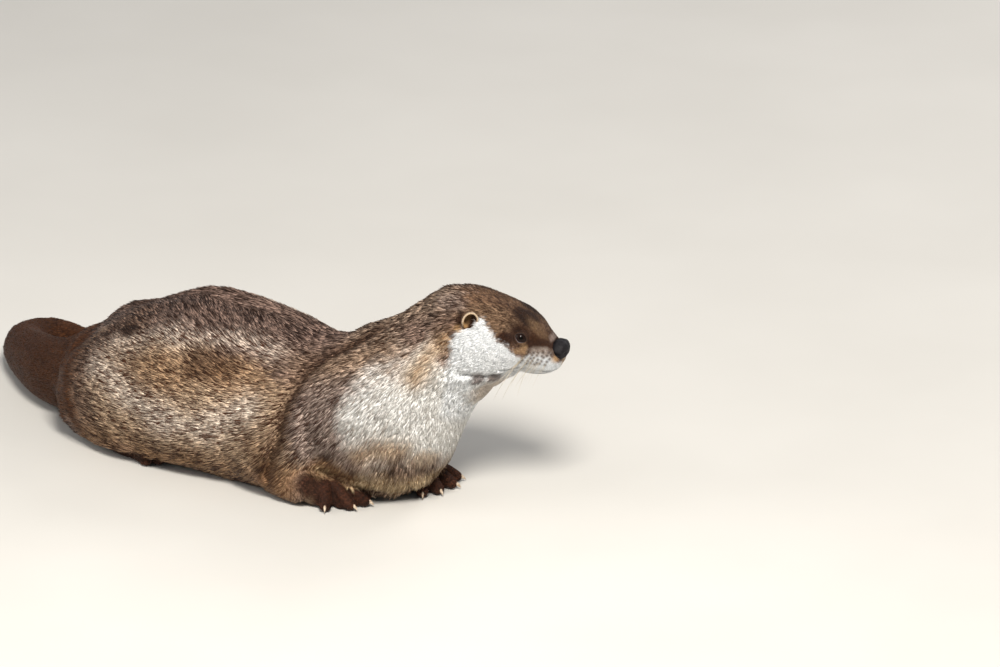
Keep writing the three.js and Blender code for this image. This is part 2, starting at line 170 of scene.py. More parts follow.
def place(mesh: Mesh, points: Array) -> None:
    """Moves a mesh's vertices to the given points."""
    mesh.vertices.foreach_set("co", points.astype(np.float32).ravel())
    mesh.update()


def neighbours_mean(values: Array, edges: Array) -> Array:
    """Averages the values at each vertex's neighbours.

    Args:
        values: One number or one row for each vertex.
        edges: Pairs of vertex numbers.

    Returns:
        The averages, in the same form.
    """
    count = len(values)
    one, other = edges.T
    degree = np.maximum(np.bincount(edges.ravel(), minlength=count), 1)
    columns = [
        np.bincount(one, column[other], count) + np.bincount(other, column[one], count)
        for column in values.reshape(count, -1).T
    ]
    return (np.stack(columns, 1) / degree[:, None]).reshape(values.shape)


def relax(points: Array, edges: Array, weight: Array, rounds: int) -> Array:
    """Smooths a surface and keeps its volume, by shrinking and growing it in turn.

    Args:
        points: The vertices.
        edges: Pairs of vertex numbers.
        weight: How far each vertex may follow, from 0 to 1.
        rounds: Number of passes.

    Returns:
        The smoothed vertices.
    """
    points = points.copy()
    for _ in range(rounds):
        for pull in (0.5, -0.52):
            points += (neighbours_mean(points, edges) - points) * (weight * pull)[:, None]
    return points


def spread(values: Array, mesh: Mesh, rounds: int) -> Array:
    """Averages values along a mesh's edges.

    Args:
        values: One number or one row for each vertex.
        mesh: The mesh.
        rounds: Number of passes.

    Returns:
        The averaged values.
    """
    edges = edges_of(mesh)
    for _ in range(rounds):
        values = 0.5 * values + 0.5 * neighbours_mean(values, edges)
    return values


# ---- making and fixing pieces


@contextmanager
def editing(mesh: Mesh) -> Iterator[bmesh.types.BMesh]:
    """Opens a mesh for editing, and writes the changes back at the end.

    Args:
        mesh: The mesh.

    Yields:
        Its editable form.
    """
    shell = bmesh.new()
    shell.from_mesh(mesh)
    yield shell
    shell.to_mesh(mesh)
    shell.free()


def new_object(name: str, data: bpy.types.ID) -> Object:
    """Links a new object.

    Args:
        name: The object's name.
        data: The mesh, lamp or camera that it shows.

    Returns:
        The object.
    """
    piece = bpy.data.objects.new(name, data)
    bpy.context.scene.collection.objects.link(piece)
    return piece


def mesh_from(name: str, points: Array, faces: list) -> Mesh:
    """Builds a smooth-shaded mesh from points and faces.

    Args:
        name: The mesh's name.
        points: The vertices.
        faces: Vertex numbers of each face.

    Returns:
        The mesh, with its faces turned outwards.
    """
    mesh = bpy.data.meshes.new(name)
    mesh.from_pydata(np.asarray(points).tolist(), [], faces)
    with editing(mesh) as shell:
        bmesh.ops.recalc_face_normals(shell, faces=shell.faces)
    mesh.shade_smooth()
    return mesh


def angles(count: int) -> list:
    """Returns equal steps of a full turn, in radians."""
    return [2.0 * math.pi * step / count for step in range(count)]


def ring_faces(first: int, second: int, around: int) -> list:
    """Returns the faces that join two rings of points, by the number of each ring's first."""
    pairs = [(step, (step + 1) % around) for step in range(around)]
    return [(first + low, first + high, second + high, second + low) for low, high in pairs]


def closed_tube(points: list, around: int, first_tip: Array, last_tip: Array) -> tuple:
    """Joins rings of points into a tube and closes its ends.

    Args:
        points: The points, ring after ring.
        around: Points in each ring.
        first_tip: The point that closes the first ring.
        last_tip: The point that closes the last ring.

    Returns:
        All the points, and the faces.
    """
    faces = []
    last = len(points) - around
    for start in range(0, last, around):
        faces += ring_faces(start, start + around, around)
    for step in range(around):
        following = (step + 1) % around
        faces.append((step, following, len(points)))
        faces.append((last + following, last + step, len(points) + 1))
    return np.array([*points, first_tip, last_tip]), faces


def evaluated(piece: Object) -> Mesh:
    """Returns the mesh that an object's modifiers make of it."""
    graph = bpy.context.evaluated_depsgraph_get()
    return bpy.data.meshes.new_from_object(piece.evaluated_get(graph), depsgraph=graph)


def apply_modifiers(piece: Object) -> None:
    """Turns the result of an object's modifiers into its own plain mesh.

    Args:
        piece: The object.
    """
    mesh = evaluated(piece)
    piece.modifiers.clear()
    piece.data = mesh


def one_surface(piece: Object, size_mm: float) -> None:
    """Rebuilds an object as one surface of even faces.

    Args:
        piece: The object.
        size_mm: The faces' size.
    """
    modifier = piece.modifiers.new("one_surface", "REMESH")
    modifier.mode = "VOXEL"
    modifier.voxel_size = size_mm * MM
    apply_modifiers(piece)


class Stored(Enum):
    """What an attribute of a mesh holds: its type and the name of its value."""

    NUMBER = ("FLOAT", "value")
    VECTOR = ("FLOAT_VECTOR", "vector")
    COLOUR = ("FLOAT_COLOR", "color")


def store(mesh: Mesh, name: str, values: Array, kind: Stored = Stored.NUMBER) -> None:
    """Stores a value for each vertex of a mesh.

    Args:
        mesh: The mesh.
        name: The attribute's name.
        values: One number or one row for each vertex.
        kind: What they are.
    """
    data_type, value_name = kind.value
    if kind is Stored.COLOUR:
        values = np.hstack([values, np.ones((len(values), 1))])
    layer = mesh.attributes.new(name, data_type, "POINT")
    layer.data.foreach_set(value_name, values.astype(np.float32).ravel())


def finish_piece(piece: Object, slot: str, *replaced: str) -> None:
    """Fixes a finished piece to the frame and reports it.

    Args:
        piece: The piece, in place.
        slot: Not used.
        replaced: Names of the solids that it stands for.
    """
    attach(piece, BODY)
    if replaced:
        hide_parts(*replaced)
    piece.data.calc_loop_triangles()
    log.info("%s: %d triangles", piece.name, len(piece.data.loop_triangles))


def make_piece(mesh: Mesh, finish: Material, slot: str, *replaced: str) -> None:
    """Gives a mesh its material and makes it a finished piece, under the mesh's own name."""
    mesh.materials.append(finish)
    finish_piece(new_object(mesh.name, mesh), slot, *replaced)


# ---- how the head is turned


@dataclass(frozen=True)
class HeadAxes:
    """The head's own axes, found from the frame's eyes."""

    centre: Array
    turn: Array

    @classmethod
    def from_frame(cls) -> "HeadAxes":
        """Sets the head's turn from fixed angles and its middle from the places of its eyes.

        Returns:
            The axes.
        """
        yaw, pitch, roll = (math.radians(angle) for angle in (20.5, 13.0, 2.5))
        turn = np.array(Euler((roll, pitch, yaw), "XYZ").to_matrix()).T
        between = np.mean([middle_of(f"eye_{side}") for side in SIDES], axis=0)
        eye_place_mm = np.array([44.2, 0.0, 1.6])
        return cls(centre=between - eye_place_mm * MM @ turn, turn=turn)

    def local(self, points: Array) -> Array:
        """Returns places in the frame as (forward, left, up) in millimetres."""
        return (points - self.centre) @ self.turn.T / MM

    def frame(self, local: Array) -> Array:
        """Returns (forward, left, up) in millimetres as places in the frame."""
        return np.asarray(local) * MM @ self.turn + self.centre

    def direction(self, local: Array) -> Array:
        """Returns a direction given as (forward, left, up) in the frame's axes."""
        return np.asarray(local) @ self.turn


# ---- parts of the body


class Part(Enum):
    """Each part of the flesh, with the names of its solids and the coat's facts there.

    The numbers are the coat's length and how deep the skin lies under the tips, both in
    millimetres, then how much of the solids' faceting is smoothed away.
    """

    HEAD = (["head", "jaw"], 8.0, 2.0, 0.6)
    EAR = (["ear_right", "ear_left"], 1.2, 0.0, 0.0)
    NECK = (["neck"], 11.0, 3.0, 1.0)
    CHEST = (["chest"], 12.0, 3.2, 1.0)
    TRUNK = (["trunk"], 12.0, 3.4, 1.0)
    LOIN = (["loin"], 12.0, 3.4, 1.0)
    RUMP = (["rump", "thigh_right", "thigh_left"], 11.0, 3.2, 1.0)
    TAIL = ([f"tail_{part}" for part in ("root", "thick", "middle", "bend", "curl", "tip")], 6.5, 0.2, 0.5)
    FORELEG = (["foreleg_right", "foreleg_left"], 7.0, 1.8, 0.6)
    FOREPAW = (["forepaw_right", "forepaw_left"], 2.0, 1.6, 0.5)
    HIND_FOOT = (["hind_foot_right", "hind_foot_left"], 3.0, 1.6, 0.4)

    def __init__(self, solids: list, length: float, depth: float, smooth: float) -> None:
        """Keeps the facts of the part."""
        self.solids, self.length, self.depth, self.smooth = solids, length, depth, smooth

    @property
    def number(self) -> int:
        """Returns the part's place in the list of parts."""
        return list(Part).index(self)


FLESH = [name for part in Part for name in part.solids]
FEET = {"forepaw": Part.FOREPAW, "hind_foot": Part.HIND_FOOT}


def middle_of(name: str) -> Array:
    """Returns the middle of a solid."""
    low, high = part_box(name)
    return np.array(low + high) / 2.0


def claw_ends(nodes: dict, name: str, palm: Array) -> tuple:
    """Finds where a claw starts and ends.

    Args:
        nodes: The frame's solids by name.
        name: The claw's name.
        palm: The middle of its foot.

    Returns:
        The middles of its root and its tip.
    """
    solid = points_of(nodes[name].data)
    order = np.argsort(np.linalg.norm((solid - palm)[:, :2], axis=1))
    count = max(len(solid) // 4, 3)
    return solid[order[:count]].mean(0), solid[order[-count:]].mean(0)


class Foot:
    """One foot and its claws."""

    def __init__(self, nodes: dict, kind: str, side: str) -> None:
        """Finds the foot's middle and the ends of its claws.

        Args:
            nodes: The frame's solids by name.
            kind: Which kind of foot.
            side: Which side's.
        """
        self.part = FEET[kind]
        self.palm = middle_of(f"{kind}_{side}")
        self.claws = {}
        for toe in TOES:
            name = f"claw_{kind}_{side}_{toe}"
            self.claws[name] = claw_ends(nodes, name, self.palm)
        self.roots = [root for root, _ in self.claws.values()]


def gap_to(points: Array, start: Array, end: Array) -> Array:
    """Finds the way from a straight stretch to each point.

    Args:
        points: Places, one row each.
        start: Where the stretch starts.
        end: Where it ends.

    Returns:
        One vector for each place.
    """
    stretch = end - start
    share = np.clip((points - start) @ stretch / (stretch @ stretch), 0.0, 1.0)
    return points - start - share[:, None] * stretch


def distance_to_line(points: Array, knots: tuple) -> Array:
    """Measures how far points lie from a bent line.

    Args:
        points: Places, one row each.
        knots: Points of the line, in order.

    Returns:
        The distance of each place from the nearest stretch.
    """
    knots = np.array(knots, float)
    stretches = zip(knots[:-1], knots[1:])
    return np.min([np.linalg.norm(gap_to(points, *ends), axis=1) for ends in stretches], axis=0)


def midline_y_mm(x_mm: Array) -> Array:
    """Returns where the animal's middle plane lies, as it bends towards the head."""
    return np.interp(x_mm, [130, 194, 259], [-28, -15, 6])


def near_side(points: Array) -> Array:
    """Mirrors points on the left side to the right.

    Args:
        points: Places in metres.

    Returns:
        The places in millimetres.
    """
    place_mm = points / MM
    middle = midline_y_mm(place_mm[:, 0])
    place_mm[:, 1] = middle - np.abs(place_mm[:, 1] - middle)
    return place_mm


# ---- the skin


@dataclass
class EyeSocket:
    """The opening between one eye's lids, with half its width and height as shares of the radius."""

    side: float
    radius_mm: float = 7.5
    wide: float = 0.73
    tall: float = 0.57
    corner: float = 0.25

    @property
    def centre_mm(self) -> Array:
        """Returns the middle of the eyeball in head coordinates."""
        return np.array([44.2, 21.5 * self.side, 1.6])

    @property
    def axes(self) -> Array:
        """Finds the opening's own axes.

        Returns:
            Rows along the opening, up across it and straight out, in head coordinates.
        """
        out = unit(np.array([0.2, 0.88 * self.side, 0.40]))
        along = unit(np.array([1.0, 0.0, -0.22]) - out * np.dot(out, [1.0, 0.0, -0.22]))
        upward = np.cross(along, out) * self.side
        upward = upward if upward[2] > 0 else -upward
        return np.stack([along, upward, out])

    def half_height(self, along: Array) -> Array:
        """Returns the opening's half height at a share of the radius along it."""
        return self.tall * (1.0 - self.corner * smoothstep(0.0, self.wide, np.abs(along)))

    def measure(self, local: Array) -> tuple:
        """Measures points against the opening.

        Args:
            local: Points in head coordinates.

        Returns:
            The share of the way from the opening's middle to its edge, the distance from the
            eyeball's middle, and the height across the opening.
        """
        away = local - self.centre_mm
        distance = np.linalg.norm(away, axis=1)
        along, across, out = (unit(away) @ self.axes.T).T
        share = np.hypot(along / self.wide, across / self.half_height(along))
        behind_it = 9.0
        return np.where(out > 0.0, share, behind_it), distance, across

    def rim(self, steps: int) -> Array:
        """Finds points round the opening's edge.

        Args:
            steps: Number of points.

        Returns:
            Their directions from the eyeball's middle.
        """
        angle = np.linspace(0.0, 2.0 * math.pi, steps, endpoint=False)
        along = self.wide * np.cos(angle)
        across = self.half_height(along) * np.sin(angle)
        out = np.sqrt(np.maximum(1.0 - along**2 - across**2, 0.0))
        return np.stack([along, across, out], 1) @ self.axes


@dataclass(frozen=True)
class EarCup:
    """One ear: a rounded shell that opens forwards and outwards."""

    centre_mm: tuple
    opens: tuple
    half_mm: tuple = (7.2, 8.6)
    rim_mm: float = 3.6
    back_mm: float = 8.5
    floor_mm: float = 5.7
    around: int = 40
    # Share of the radius, height in millimetres, share of the rim's height, depth in the cup.
    profile: tuple = (
        (0.60, -8, 0, -1),
        (0.90, -4, 0, -1),
        (1.03, -1, 0.3, -0.8),
        (1.06, -0.7, 1, -0.3),
        (1.01, 0.5, 1, 0),
        (0.93, 0.2, 1, 0.15),
        (0.83, -0.9, 1, 0.5),
        (0.70, -2.4, 0.6, 0.8),
        (0.48, -4.3, 0.2, 1),
        (0.22, -5.4, 0, 1),
    )

    def shell(self) -> tuple:
        """Builds the ear's shell.

        Returns:
            The points in head coordinates, the faces and how deep each point is in the cup.
        """
        centre, out = np.array(self.centre_mm), unit(np.array(self.opens))
        upward = unit(np.array([0.0, 0.0, 1.0]) - out * out[2])
        ahead = np.cross(upward, out)
        ahead = ahead if ahead[0] > 0 else -ahead
        points, depth = [], []
        for share, height, rim, inside in self.profile:
            for angle in angles(self.around):
                front = float(smoothstep(-0.2, 0.85, np.array(math.cos(angle + 1.15))))
                rise = height + rim * self.rim_mm * (1.0 - 1.1 * front)
                flat = ahead * math.cos(angle) * self.half_mm[0]
                flat = flat + upward * math.sin(angle) * self.half_mm[1]
                points.append(centre + flat * share + out * rise)
                depth.append(inside)
        tips = centre - out * self.back_mm, centre - out * self.floor_mm
        points, faces = closed_tube(points, self.around, *tips)
        return points, faces, np.array([*depth, -1.0, 1.0])


@dataclass
class Skin:
    """One skin over the whole animal, inside its coat."""

    nodes: dict
    head: HeadAxes
    coarse_mm: float = 2.8
    fine_mm: float = 1.5
    seam_mm: float = 0.5
    smoothing_rounds: int = 26
    toe_reach_mm: float = 9.5
    # Share of the faces that is kept where the skin is plain.
    plain_share: float = 0.20
    lid_mm: float = 0.8
    # The line of the lips: how far forward, how far up.
    mouth_mm: tuple = ((34, -28.6), (56, -26.6), (86, -23.6))
    jaw_crease_mm: tuple = ((4, 46, -40), (17, 41, -39), (32, 33, -37), (44, 20, -37), (50, 0, -38))
    # Where the back stands higher or lower than its solids: how much, how widely, the line.
    back_lines_mm: tuple = (
        (6, 20, ((154, -10, 157), (172, -14, 168), (200, -13, 183))),
        (4.5, 34, ((-30, -2, 149), (9, 3, 148), (60, -4, 143))),
        (-9, 34, ((-150, -50, 106), (-130, -38, 126), (-112, -20, 136))),
    )
    shoulder_fold_mm: tuple = (
        *((172, -30, 157), (149, -49, 147), (120, -74, 127), (113, -97, 100)),
        *((112, -109, 71), (106, -113, 47), (98, -112, 26)),
    )
    # Bumps and hollows on both sides of the face: height, middle, half size.
    bumps_mm: tuple = (
        (1.4, (38, 17.5, 14), (9, 5, 4)),
        (-1.3, (55.5, 16.5, 0.5), (4, 5, 4)),
        (-0.9, (31, 27, 0), (5, 5, 4)),
        (1.2, (64, 14, -14), (9, 6, 6)),
        (0.8, (47, 26, -9), (9, 6, 4)),
        (-2.4, (-13, 33, 7), (3.2, 8, 6.5)),
        (-1.2, (-13.5, 37, -8), (4, 8, 2.2)),
    )
    ears: tuple = (
        EarCup((-3.4, -34.6, 8.8), (0.50, -0.85, 0.14)),
        EarCup((-6.0, 33.0, 2.6), (0.50, 0.85, 0.1), (6.6, 7.4), 2.8),
    )

    def __post_init__(self) -> None:
        """Gathers what the skin is made from: sockets, feet and the flesh's solids."""
        self.sockets = [EyeSocket(side) for side in SIDES.values()]
        self.feet = [Foot(self.nodes, kind, side) for kind in FEET for side in SIDES]
        self.owner = np.empty(0, int)
        self.cup_depth = np.empty(0)
        points, faces, self.face_owner = self.solids()
        self.object = new_object("skin", mesh_from("skin", np.array(points), faces))
        self.flesh_tree = BVHTree.FromPolygons(points, faces)

    def solids(self) -> tuple:
        """Gathers the flesh's solids, but for the ears, into one set of points and faces.

        Returns:
            The points, the faces and the number of the part that each face belongs to.
        """
        points, faces, owner = [], [], []
        for part in Part:
            for name in part.solids if part is not Part.EAR else ():
                shell = bmesh.new()
                shell.from_mesh(self.nodes[name].data)
                bmesh.ops.remove_doubles(shell, verts=shell.verts, dist=1e-5)
                shell.normal_update()
                first = len(points)
                points += [vertex.co + vertex.normal * self.seam_mm * MM for vertex in shell.verts]
                faces += [[first + vertex.index for vertex in face.verts] for face in shell.faces]
                owner += [part.number] * len(shell.faces)
                shell.free()
        return points, faces, np.array(owner)

    def build(self) -> None:
        """Makes the skin, step by step."""
        self.fill_sockets()
        one_surface(self.object, self.coarse_mm)
        self.soften(self.smoothing_rounds)
        self.sink()
        self.add_toes()
        one_surface(self.object, self.fine_mm)
        self.soften(4)
        self.thin_out()
        self.refine_face()
        self.soften(4)
        self.fold_body()
        self.sculpt_face()
        self.find_parts()
        self.add_ears()
        self.mesh.shade_smooth()

    def fill_sockets(self) -> None:
        """Fills the solids' eye sockets, so that there is skin to draw over the eyes."""
        with editing(self.mesh) as shell:
            for socket in self.sockets:
                spot = Matrix.Translation(Vector(self.head.frame(socket.centre_mm)))
                radius = (socket.radius_mm + self.lid_mm) * MM
                bmesh.ops.create_icosphere(shell, subdivisions=4, radius=radius, matrix=spot)

    @property
    def mesh(self) -> Mesh:
        """Returns the skin's mesh."""
        return self.object.data

    def local(self) -> Array:
        """Returns the skin's points in head coordinates."""
        return self.head.local(points_of(self.mesh))

    def is_head(self, local: Array) -> Array:
        """Returns which of these points lie in the head or right behind it."""
        return (local[:, 0] > -40.0) & (np.linalg.norm(local, axis=1) < 92.0)

    def find_parts(self) -> None:
        """Finds the part that each point of the skin belongs to."""
        tree = self.flesh_tree
        found = [tree.find_nearest(vertex.co)[2] for vertex in self.mesh.vertices]
        self.owner = self.face_owner[np.array(found)]
        points = points_of(self.mesh)
        for foot in self.feet:
            for claw in foot.roots:
                line = np.stack([foot.palm + (claw - foot.palm) * 0.35, claw])
                near = distance_to_line(points, line) < self.toe_reach_mm * MM
                self.owner[near] = foot.part.number

    def ahead_of_wrist(self, points: Array) -> Array:
        """Weighs points by how far they lie ahead of the wrist of the nearest forepaw.

        Args:
            points: Places on the skin, in metres.

        Returns:
            A weight from 0 to 1 for each point; 1 where no forepaw is near.
        """
        ahead = np.ones(len(points))
        for foot in self.feet:
            if foot.part is Part.FOREPAW:
                away = points - foot.palm
                heading = unit((np.mean(foot.roots, axis=0) - foot.palm) * np.array([1.0, 1.0, 0.0]))
                near = np.linalg.norm(away[:, :2], axis=1) < 0.07
                reach = away @ heading / MM
                ahead[near] = smoothstep(-9.0, -1.0, reach - 0.25 * points[:, 2] / MM + 8.0)[near]
        return ahead

    def toe_gap(self, points: Array) -> Array:
        """Weighs points by how near they are to the gap between two toes.

        Args:
            points: Places on the skin, in metres.

        Returns:
            A weight from 0 to 1 for each point.
        """
        gap = np.zeros(len(points))
        for foot in self.feet:
            away = points - foot.palm
            near = np.flatnonzero((np.abs(away[:, :2]).max(1) < 0.06) & (points[:, 2] < 0.034))
            ways = [claw - foot.palm for claw in foot.roots]
            heading = np.array([math.atan2(way[1], way[0]) for way in ways])
            angle = np.arctan2(away[near, 1], away[near, 0])
            turn = (angle[:, None] - heading + math.pi) % (2.0 * math.pi) - math.pi
            reach = np.linalg.norm(away[near, :2], axis=1)
            off = np.sort(np.abs(turn), axis=1)
            beside = (off[:, 1] - off[:, 0]) * reach / MM
            length = min(np.linalg.norm(way[:2]) for way in ways)
            inside = smoothstep(0.30 * length, 0.60 * length, reach) * (off[:, 0] < 0.5)
            gap[near] = np.maximum(gap[near], inside * hump(beside, 3.2))
        return gap

    def part_values(self, values: list, rounds: int) -> Array:
        """Returns a number that each part has, spread smoothly over the points of the skin."""
        return spread(np.array(values)[self.owner], self.mesh, rounds)

    def soften(self, rounds: int) -> None:
        """Smooths the solids' facets out of the skin, least on the feet.

        Args:
            rounds: Number of passes.
        """
        self.find_parts()
        weight = self.part_values([part.smooth for part in Part], 3)
        mesh = self.mesh
        place(mesh, relax(points_of(mesh), edges_of(mesh), weight, rounds))

    def refine_face(self) -> None:
        """Halves the size of the faces on the front of the head."""
        local = self.local()
        inside = (local[:, 0] > 24.0) & (local[:, 2] > -45.0) & self.is_head(local)
        with editing(self.mesh) as shell:
            shell.verts.ensure_lookup_table()
            edges = [edge for edge in shell.edges if all(inside[v.index] for v in edge.verts)]
            bmesh.ops.subdivide_edges(shell, edges=edges, cuts=1, use_grid_fill=True)
            bmesh.ops.triangulate(shell, faces=[face for face in shell.faces if len(face.verts) > 4])

    def thin_out(self) -> None:
        """Makes the faces larger where the skin is plain: everywhere but the head and feet."""
        self.find_parts()
        detailed = [part.number for part in (Part.HEAD, Part.FOREPAW, Part.HIND_FOOT)]
        plain = np.flatnonzero(~np.isin(self.owner, detailed))
        group = self.object.vertex_groups.new(name="plain")
        group.add(plain.tolist(), 1.0, "REPLACE")
        share = len(plain) / len(self.owner)
        modifier = self.object.modifiers.new("thin_out", "DECIMATE")
        modifier.ratio = 1.0 - share * (1.0 - self.plain_share)
        modifier.vertex_group = group.name
        apply_modifiers(self.object)
        self.object.vertex_groups.clear()

    def sink(self) -> None:
        """Moves the skin in from the outline by the depth of the coat."""
        mesh = self.mesh
        points, normals = points_of(mesh), normals_of(mesh)
        depth = self.part_values([part.depth for part in Part], 8)
        local = self.local()
        share = self.is_head(local) & (local[:, 0] > -30.0) & (local[:, 2] > -55.0)
        on_head = np.interp(local[:, 0], [-30.0, 0.0, 25.0, 45.0, 70.0], [3.0, 2.0, 1.3, 0.8, 0.5])
        depth = spread(np.where(share, on_head, depth), mesh, 4)
        resting = smoothstep(0.012, 0.003, points[:, 2]) * (normals[:, 2] < -0.4)
        depth = depth * (1.0 - 0.6 * resting)
        place(mesh, points - normals * depth[:, None] * MM)

    def add_toes(self) -> None:
        """Adds the five toes of each foot, as a row of overlapping balls each."""
        with editing(self.mesh) as shell:
            for foot in self.feet:
                for claw in foot.roots:
                    for centre, radius in self.toe_balls(foot, claw / MM):
                        spot = Matrix.Translation(Vector(centre * MM))
                        bmesh.ops.create_icosphere(shell, subdivisions=3, radius=radius * MM, matrix=spot)

    def toe_balls(self, foot: Foot, claw: Array) -> list:
        """Places the balls of one toe between the palm and the root of its claw.

        Args:
            foot: The foot.
            claw: The root of the claw, in millimetres.

        Returns:
            Pairs of a middle and a radius, in millimetres.
        """
        front = foot.part is Part.FOREPAW
        heights = (19.0, 15.5, 6.0) if front else (12.0, 10.0, 5.4)
        radii = (6.2, 5.6, 5.4) if front else (5.6, 4.8, 4.9)
        start, end = 0.34, 0.98 if front else 0.66
        palm = foot.palm / MM
        balls = []
        for share in np.linspace(0.0, 1.0, 11):
            flat = palm[:2] + (claw[:2] - palm[:2]) * (start + (end - start) * share)
            bend = (1.0 - share) ** 2, 2.0 * share * (1.0 - share), share**2
            height = sum(part * value for part, value in zip(bend, heights))
            balls.append((np.array([*flat, height]), float(np.interp(share, [0, 0.6, 1], radii))))
        return balls

    def fold_body(self) -> None:
        """Presses in the folds behind the shoulders, between the toes and under the jaw."""
        mesh = self.mesh
        points, outward = points_of(mesh), normals_of(mesh)
        side = near_side(points)
        away = distance_to_line(side, self.shoulder_fold_mm)
        fold_x, _, fold_z = np.array(self.shoulder_fold_mm, float)[::-1].T
        ahead = smoothstep(-6.0, 10.0, side[:, 0] - np.interp(side[:, 2], fold_z, fold_x))
        body = ~self.is_head(self.local()) * smoothstep(160.0, 132.0, side[:, 2])
        lift = -5.6 * hump(away, 7.5) * body
        lift += 2.2 * hump(away - 15.0, 9.0) * ahead * body
        for height, reach, line in self.back_lines_mm:
            lift += height * hump(distance_to_line(points / MM, line), reach)
        lift += 0.7 * ripple(points, 90.0, 31) * (side[:, 2] > 30.0) * body
        lift -= 2.8 * self.toe_gap(points)
        lift -= 2.6 * hump(distance_to_line(folded(self.local()), self.jaw_crease_mm), 4.0)
        points += outward * lift[:, None] * MM
        points[:, 2] = np.maximum(points[:, 2], 0.3 * MM)
        place(mesh, points)

    def sculpt_face(self) -> None:
        """Shapes the lids, brows, lips and whisker pads on the head."""
        local = self.local()
        chosen = np.flatnonzero(self.is_head(local) & (local[:, 0] > -25.0))
        spot = local[chosen]
        outward = normals_of(self.mesh)[chosen] @ self.head.turn.T
        lift = sum(height * bell(folded(spot), *where) for height, *where in self.bumps_mm)
        for cup in self.ears:
            gap = np.linalg.norm(spot - np.array(cup.centre_mm), axis=1)
            lift -= 6.0 * np.exp(-((gap / 6.5) ** 4))
        forward, left, upward = spot.T
        line = np.interp(forward, *np.array(self.mouth_mm).T)
        reach = smoothstep(33.0, 38.0, forward) * smoothstep(90.0, 78.0, forward)
        lift -= 1.8 * reach * hump(upward - line, 0.9)
        lift += 0.6 * reach * hump(upward - line - 3.0, 2.2)
        philtrum = hump(left, 0.8) * smoothstep(76.0, 80.0, forward)
        lift -= 0.9 * philtrum * (upward < -15.0) * (upward > line)
        spot = spot + outward * lift[:, None]
        for socket in self.sockets:
            spot = self.open_lids(spot, socket)
        local[chosen] = spot
        place(self.mesh, self.head.frame(local))

    def open_lids(self, spot: Array, socket: EyeSocket) -> Array:
        """Draws the skin round one eyeball and opens the lids.

        Args:
            spot: Points in head coordinates.
            socket: The eye's socket.

        Returns:
            The moved points.
        """
        share, distance, across = socket.measure(spot)
        radius = socket.radius_mm
        lid = 0.6 + 0.5 * smoothstep(0.0, 0.4, across)
        inner = radius - 2.2 + (2.2 + lid) * smoothstep(0.84, 1.06, share)
        away = unit(spot - socket.centre_mm)
        ring = smoothstep(0.05, 0.36, away @ socket.axes[2])
        ring *= smoothstep(radius + 5.5, radius + 1.8, distance)
        crease = 0.6 * hump(share - 1.6, 0.16) * smoothstep(-0.2, 0.2, across)
        wanted = distance * (1.0 - ring) + inner * ring - crease
        return np.where(share[:, None] < 2.6, socket.centre_mm + away * wanted[:, None], spot)

    def add_ears(self) -> None:
        """Joins the ears to the skin."""
        self.cup_depth = np.zeros(len(self.owner))
        with editing(self.mesh) as joined:
            for cup in self.ears:
                points, faces, depth = cup.shell()
                ear = mesh_from("ear", self.head.frame(points), faces)
                joined.from_mesh(ear)
                bpy.data.meshes.remove(ear)
                self.owner = np.append(self.owner, [Part.EAR.number] * len(points))
                self.cup_depth = np.append(self.cup_depth, depth)

    def share_of(self, parts: list, rounds: int) -> Array:
        """Returns a soft-edged share of some parts at each point of the skin."""
        return self.part_values([float(part in parts) for part in Part], rounds)

    def shares(self) -> dict:
        """Returns how much each point is of an ear, its cup, the tail, a foot or a toe's gap."""
        points = points_of(self.mesh)
        return {
            "ear_share": self.share_of([Part.EAR], 0),
            "cup_share": self.cup_depth,
            "tail_share": self.share_of([Part.TAIL], 8),
            "foot_share": self.share_of(list(FEET.values()), 3) * self.ahead_of_wrist(points),
            "gap_share": self.toe_gap(points),
        }


# ---- the lie of the coat


